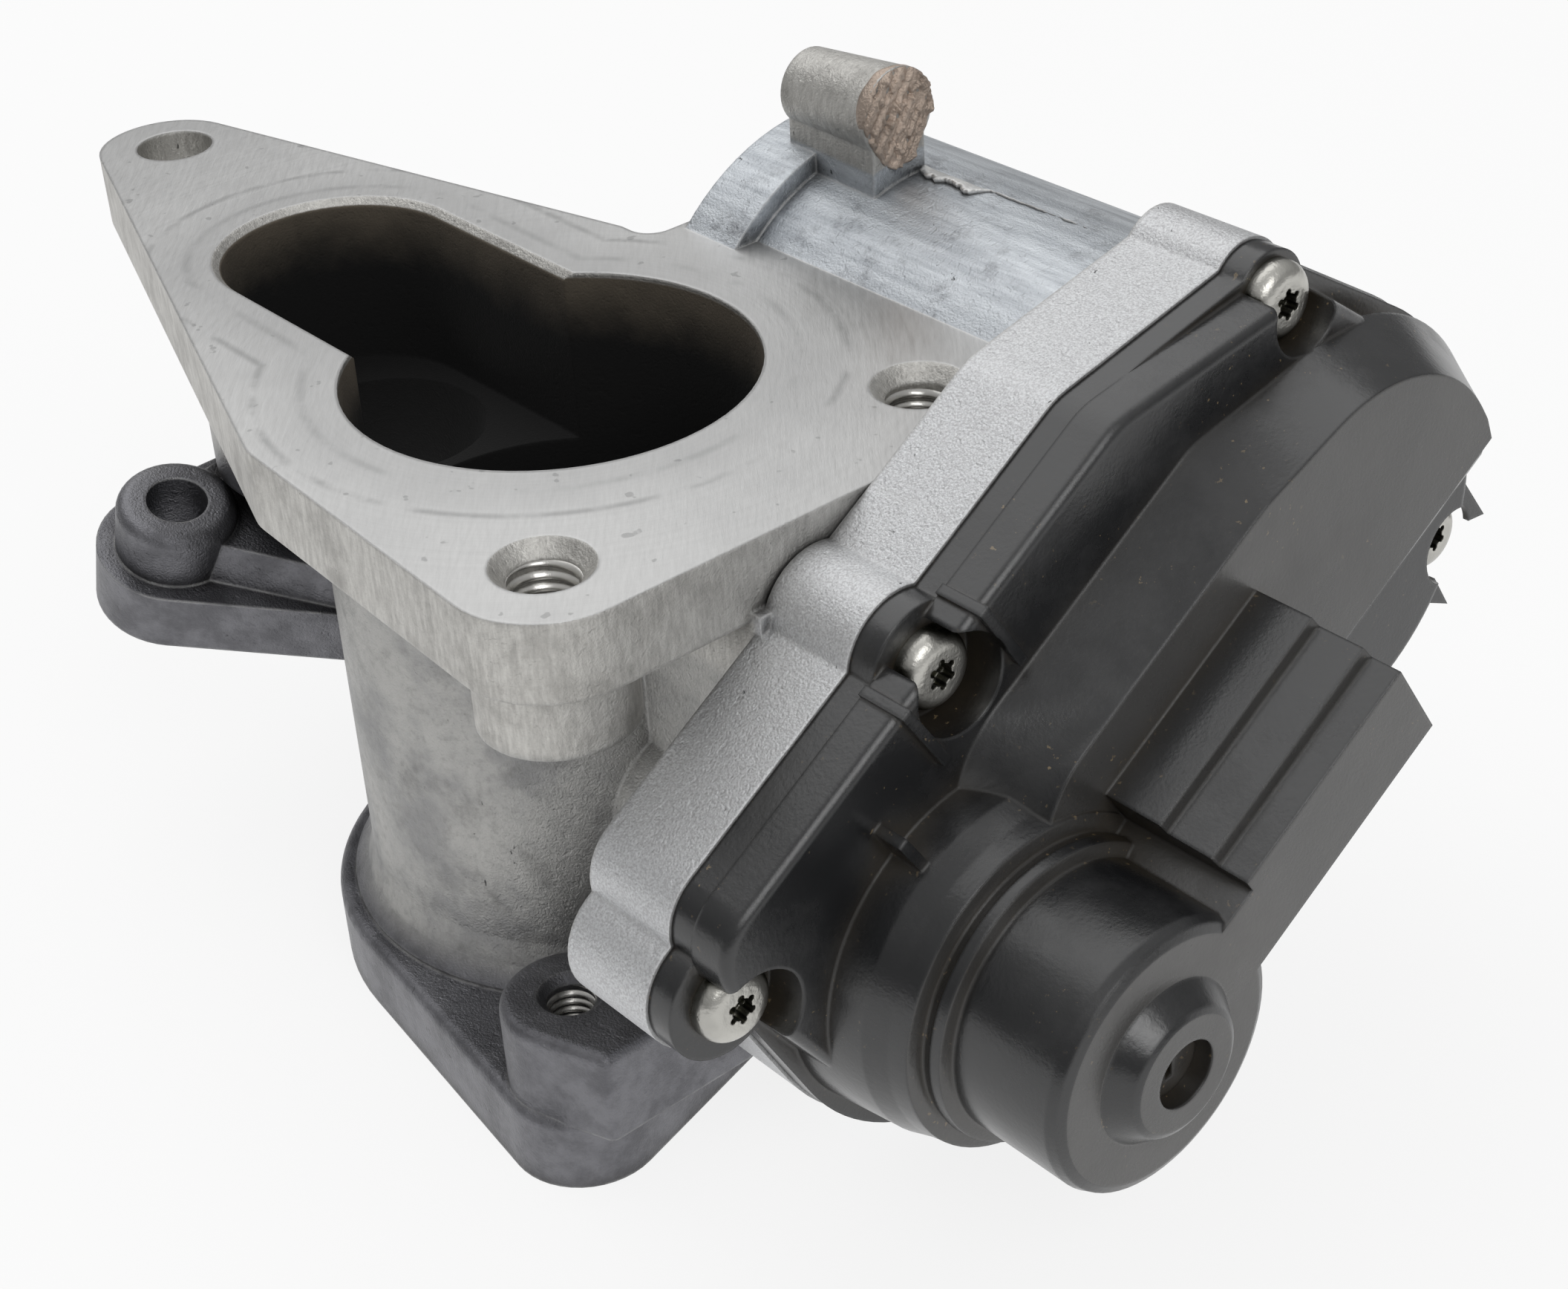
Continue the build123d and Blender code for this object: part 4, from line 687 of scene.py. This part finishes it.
# ------------------------------------------------------------------ surfaces
def surface(name: str, points: np.ndarray, around: bool = True) -> bpy.types.Object:
    """Make a mesh object from a grid of points.

    Args:
        name: the piece's name.
        points: an array of rows by columns by 3, in metres.
        around: whether the columns close on themselves.

    Returns:
        The object, at the origin, smooth shaded.
    """
    rows, columns = points.shape[:2]
    column = np.arange(columns if around else columns - 1)
    r, c = np.meshgrid(np.arange(rows - 1), column, indexing="ij")
    r1, c1 = r + 1, (c + 1) % columns
    faces = np.stack((r * columns + c, r * columns + c1, r1 * columns + c1, r1 * columns + c), axis=-1)
    mesh = bpy.data.meshes.new(name)
    mesh.from_pydata(points.reshape(-1, 3).tolist(), [], faces.reshape(-1, 4).tolist())
    mesh.polygons.foreach_set("use_smooth", np.ones(len(mesh.polygons), dtype=bool))
    mesh.update()
    made = bpy.data.objects.new(name, mesh)
    bpy.context.scene.collection.objects.link(made)
    return made


def settle(piece: bpy.types.Object, finish: Finish, body: Body) -> None:
    """Give a new piece its finish and body, close its poles and report it.

    Args:
        piece: the finished object.
        finish: the finish it wears.
        body: the body it rides on.
    """
    shell = bmesh.new()
    shell.from_mesh(piece.data)
    bmesh.ops.remove_doubles(shell, verts=shell.verts, dist=1e-6)
    bmesh.ops.recalc_face_normals(shell, faces=shell.faces)
    shell.to_mesh(piece.data)
    shell.free()
    piece.data.materials.append(finish.material())
    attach(piece, body.value)
    LOG.info("piece %s: %s, rides on %s", piece.name, finish.name, body.value)


def waves(values: np.ndarray, seed: int, count: int = 6) -> np.ndarray:
    """Return smooth noise from about -1 to 1.

    The noise is the sum of count sines, each of a higher frequency and smaller height.

    Args:
        values: where to read it, about one unit a wave.
        seed: which noise.
        count: how many sines.

    Returns:
        An array of the shape of values.
    """
    draw = np.random.default_rng(seed)
    step = np.arange(1, count + 1)
    phase = draw.uniform(0, 2 * np.pi, count)
    speed = step * draw.uniform(0.8, 1.25, count)
    return (np.sin(values[..., None] * speed * 2 * np.pi + phase) / step).sum(axis=-1) / 1.6


def ramp(values: np.ndarray, span: float) -> np.ndarray:
    """Return a straight rise from 0 at 0 to 1 at span, held at both ends."""
    return np.clip(values / span, 0, 1)


@dataclass(frozen=True)
class Cutter:
    """One size of thread: radius of its core, climb in a turn and height of its ridge."""

    core_r: float
    pitch: float
    height: float


@dataclass
class Thread:
    """The turns of a cut thread inside a hole.

    A ridge with a rounded crest is carried along a helix: it stands on the wall at the cutter's
    core radius, its crest is the cutter's height nearer to the axis, and it climbs one pitch a
    turn. At both ends the ridge dies away into the wall.
    """

    name: str
    place: tuple[float, float]
    cutter: Cutter
    low: float
    high: float
    steps: int = 48
    fade_turns: float = 0.5

    def build(self) -> None:
        """Build the ridge."""
        turns = (self.high - self.low) / self.cutter.pitch
        t = np.linspace(0, 1, int(turns * self.steps) + 1)[:, None]
        angle = 2 * np.pi * turns * t
        fade = np.clip(np.minimum(t, 1 - t) * turns / self.fade_turns, 0, 1)
        # the section of the ridge: its reach inwards and its place along the pitch, as shares
        reach = np.array([-0.2, 0.0, 0.55, 0.95, 1.0, 0.95, 0.55, 0.0, -0.2])[None, :]
        along = np.array([-0.46, -0.44, -0.22, -0.08, 0.0, 0.08, 0.22, 0.44, 0.46])[None, :]
        r = self.cutter.core_r - reach * fade * self.cutter.height
        z = self.low + (self.high - self.low) * t + along * self.cutter.pitch * fade
        points = np.stack((self.place[0] + r * np.cos(angle), self.place[1] + r * np.sin(angle),
                           z + 0 * r), axis=-1)
        settle(surface(self.name, points), THREAD, Body.HOUSING)


@dataclass
class BrokenEnd:
    """The torn face of the lug on the barrel.

    Rows run from a ragged rim round the lug to the middle of the face. The rim is round above
    and drawn down to a narrower foot below. The first rows climb from the rim to the face; after
    them the outline shrinks to nothing, and waves across y and z lift and pit the face.
    """

    centre: tuple[float, float] = (46 * MM, 81.5 * MM)
    radius: float = 5.06 * MM
    foot: float = 6.2 * MM
    foot_share: float = 0.80
    rim_x: float = 1.5 * MM
    face_x: float = 2.8 * MM
    rim_rows: float = 0.12
    climb_rows: float = 0.14
    lump: float = 3.0 * MM
    lump_height: float = 0.42 * MM
    rim_height: float = 0.35 * MM

    def build(self) -> None:
        """Build the torn face."""
        t = np.linspace(0, 2 * np.pi, 120, endpoint=False)[None, :]
        s = np.linspace(0, 1, 48)[:, None]
        lower = np.clip(-np.sin(t), 0, 1)
        width = self.radius * (1 - (1 - self.foot_share) * np.clip(lower * 1.6, 0, 1))
        height = np.where(np.sin(t) > 0, self.radius, self.foot)
        share = 1 - np.clip((s - self.rim_rows) / (1 - self.rim_rows), 0, 1)
        y = self.centre[0] + width * share * np.cos(t)
        z = self.centre[1] + height * share * np.sin(t)
        # the waves run over y and z, so nothing pinches at the middle of the face
        across, upward = y / self.lump, z / self.lump
        rough = waves(0.9 * across + 0.35 * upward, 3) * waves(0.8 * upward - 0.5 * across, 8)
        rough = rough + 0.6 * waves(1.7 * across - 1.1 * upward, 12, 4)
        x_rim = self.rim_x + self.rim_height * waves(t / np.pi, 11)
        climb = np.clip(s / self.climb_rows, 0, 1)**0.7
        x = x_rim + (self.face_x - x_rim + self.lump_height * rough) * climb
        points = np.stack((x, y, z), axis=-1)
        back = points[:1].copy()
        back[..., 1:] = np.array(self.centre) + 0 * back[..., 1:]
        back[..., 0] = self.rim_x
        points[-1] = points[-1].mean(axis=0)
        torn = surface("lug_broken_end", np.concatenate((back, points)))
        settle(torn, BROKEN, Body.HOUSING)


@dataclass
class PartingLine:
    """Flash left along the mould's parting line on top of the barrel.

    A thin ridge is carried along x at one angle round the barrel. Its width is that of a torn
    tongue near the lug and of a fine line further on, both broken up by noise.
    """

    axis: tuple[float, float] = (49.465 * MM, 50.011 * MM)
    barrel_r: float = 24 * MM
    turn: float = 0.04
    start: float = 1.6 * MM
    tongue_end: float = 12.2 * MM
    end: float = 26 * MM
    tongue_w: float = 1.9 * MM
    line_w: float = 0.30 * MM
    broken_from: float = 20 * MM
    long_wave: float = 4.5 * MM
    short_wave: float = 1.2 * MM

    def build(self) -> None:
        """Build the ridge."""
        x = np.linspace(self.start, self.end, 420)[:, None]
        from_start = x - self.start
        in_tongue = ramp(self.tongue_end - x, 1.2 * MM) * ramp(from_start, 1.5 * MM)
        torn = 1 + 0.24 * waves(x / self.long_wave, 2, 3) + 0.05 * waves(x / self.short_wave, 4, 3)
        ends = ramp(self.end - x, 0.4 * MM) * ramp(from_start, 0.4 * MM)
        gap = np.clip(0.55 + waves(x / self.long_wave, 6) + (x < self.broken_from), 0, 1)
        width = (self.line_w * gap + self.tongue_w * in_tongue) * torn * ends
        thick = (0.26 + 0.34 * in_tongue) * MM * ends * np.clip(gap + in_tongue, 0, 1)
        # the section, as shares of the width across and of the thickness outwards
        across = np.array([-0.2, 0.6, 0.9, 1.0, 0.8, 0.3])[None, :]
        outward = np.array([-0.5, -0.5, -0.2, 0.9, 1.0, 0.5])[None, :]
        r = self.barrel_r + outward * thick
        turn = self.turn - across * width / self.barrel_r
        y = self.axis[0] + r * np.sin(turn)
        z = self.axis[1] + r * np.cos(turn)
        points = np.stack((x + 0 * y, y, z), axis=-1)
        settle(surface("barrel_flash", points), FLASH, Body.HOUSING)


@dataclass
class CastingDetails:
    """The scene's own pieces on the casting."""

    m8: Cutter = Cutter(3.5 * MM, 1.25 * MM, 0.42 * MM)
    m6: Cutter = Cutter(2.5 * MM, 1.0 * MM, 0.34 * MM)

    def build(self) -> None:
        """Build the threads, the torn lug and the flash."""
        threads = (
            Thread("front_thread_turns", (30.3 * MM, -24.0 * MM), self.m8, 53 * MM, 66.4 * MM),
            Thread("back_thread_turns", (30.1 * MM, 22.5 * MM), self.m8, 51 * MM, 66.4 * MM),
            Thread("front_stud_thread", (28.8 * MM, -25.5 * MM), self.m6, 1 * MM, 17.4 * MM),
            Thread("rear_stud_thread", (-28.8 * MM, 25.5 * MM), self.m6, 1 * MM, 13.4 * MM),
        )
        for thread in threads:
            thread.build()
        BrokenEnd().build()
        PartingLine().build()


@dataclass
class NodeDress:
    """Gives every solid of the model its finish."""

    finishes: dict[str, Finish] = field(default_factory=lambda: dict(NODE_FINISHES))

    def build(self) -> None:
        """Assign each finish to its node's object."""
        for name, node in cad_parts.items():
            finish = self.finishes[name]
            node.data.materials.clear()
            node.data.materials.append(finish.material())
            LOG.info("node %s: %s", name, finish.name)


# ------------------------------------------------------------------ studio
@dataclass(frozen=True)
class Studio:
    """Floor, world, lamps and camera."""

    eye: Point = (0.206732, -0.141858, 0.194512)
    right: Point = (0.6592239, 0.7502238, -0.05087332)
    down: Point = (0.38027466, -0.39098522, -0.8381657)
    ahead: Point = (-0.64870258, 0.53319303, -0.5430379)
    lens: float = 63.57
    horizon: float = 0.16
    zenith: float = 0.62
    floor_half: float = 4.0
    floor_white: float = 0.84
    middle: Point = (0.0, 0.0, 0.04)

    def camera(self) -> None:
        """Place the camera from its three axes."""
        lens = bpy.data.cameras.new("camera")
        lens.lens = self.lens
        lens.sensor_width = 36.0
        lens.clip_start = 0.01
        camera = bpy.data.objects.new("camera", lens)
        bpy.context.scene.collection.objects.link(camera)
        turn = Matrix((self.right, [-v for v in self.down], [-v for v in self.ahead])).transposed()
        camera.matrix_world = Matrix.Translation(self.eye) @ turn.to_4x4()
        bpy.context.scene.camera = camera

    def white(self, graph: Graph, lit: bpy.types.NodeSocket, share: float) -> bpy.types.NodeSocket:
        """Mix plain white into a shader for rays from the camera, mirrors and glass.

        Args:
            graph: the material's graph.
            lit: the shader that other rays see.
            share: how much of what the camera sees is plain white.

        Returns:
            The mixed shader.
        """
        path = graph.node("ShaderNodeLightPath").outputs
        seen = graph.math("MAXIMUM", path["Is Camera Ray"],
                          graph.math("MAXIMUM", path["Is Glossy Ray"], path["Is Transmission Ray"]))
        glow = graph.node("ShaderNodeEmission", None, Color=(1.0, 1.0, 1.0), Strength=1.0)
        mixed = graph.node("ShaderNodeMixShader", None, i0=graph.times(seen, share), i1=lit,
                           i2=glow.outputs[0])
        return mixed.outputs[0]

    def floor(self) -> None:
        """Lay the pale floor."""
        half = self.floor_half
        corners = np.array([[-half, -half, 0], [half, -half, 0], [-half, half, 0], [half, half, 0]])
        floor = surface("floor", corners.reshape(2, 2, 3), around=False)
        made = bpy.data.materials.new("floor")
        made.use_nodes = True
        graph = Graph(made.node_tree)
        lit = graph.node("ShaderNodeBsdfDiffuse", None, Color=(0.92, 0.92, 0.92))
        output = graph.node("ShaderNodeOutputMaterial")
        graph.feed(output.inputs["Surface"], self.white(graph, lit.outputs[0], self.floor_white))
        floor.data.materials.append(made)

    def world(self) -> None:
        """Fill the surroundings: white for the camera, soft grey light for the rest."""
        world = bpy.data.worlds.new("surroundings")
        world.use_nodes = True
        bpy.context.scene.world = world
        graph = Graph(world.node_tree)
        path = graph.node("ShaderNodeLightPath").outputs
        seen = graph.math("MAXIMUM", path["Is Camera Ray"], path["Is Transmission Ray"])
        way = graph.node("ShaderNodeTexCoord").outputs["Generated"]
        height = graph.math("MAXIMUM", graph.parts(way)[2], 0.0)
        soft = graph.lerp(height, self.horizon, self.zenith)
        strength = graph.lerp(seen, soft, 1.0)
        glow = graph.node("ShaderNodeBackground", None, Color=(1.0, 1.0, 1.0), Strength=strength)
        output = graph.node("ShaderNodeOutputWorld")
        graph.feed(output.inputs["Surface"], glow.outputs[0])

    def lamp(self, name: str, place: Point, size: float, power: float) -> None:
        """Hang a square soft lamp that faces the middle of the part.

        Args:
            name: the lamp's name.
            place: where it hangs.
            size: its side.
            power: its power in watts.
        """
        light = bpy.data.lights.new(name, "AREA")
        light.size = size
        light.energy = power
        made = bpy.data.objects.new(name, light)
        bpy.context.scene.collection.objects.link(made)
        made.location = place
        made.rotation_euler = (Vector(self.middle) - Vector(place)).to_track_quat("-Z", "Y").to_euler()

    def build(self) -> None:
        """Set up the whole studio."""
        self.camera()
        self.floor()
        self.world()
        self.lamp("key", (-0.45, 0.10, 0.75), 0.95, 2.9)
        self.lamp("window", (0.62, -0.20, 0.58), 0.42, 1.9)
        bpy.context.scene.view_settings.view_transform = "Standard"
        LOG.info("studio ready")


def main() -> None:
    """Build every part of the scene in order."""
    Studio().build()
    NodeDress().build()
    CastingDetails().build()


if __name__ == "__main__":
    main()
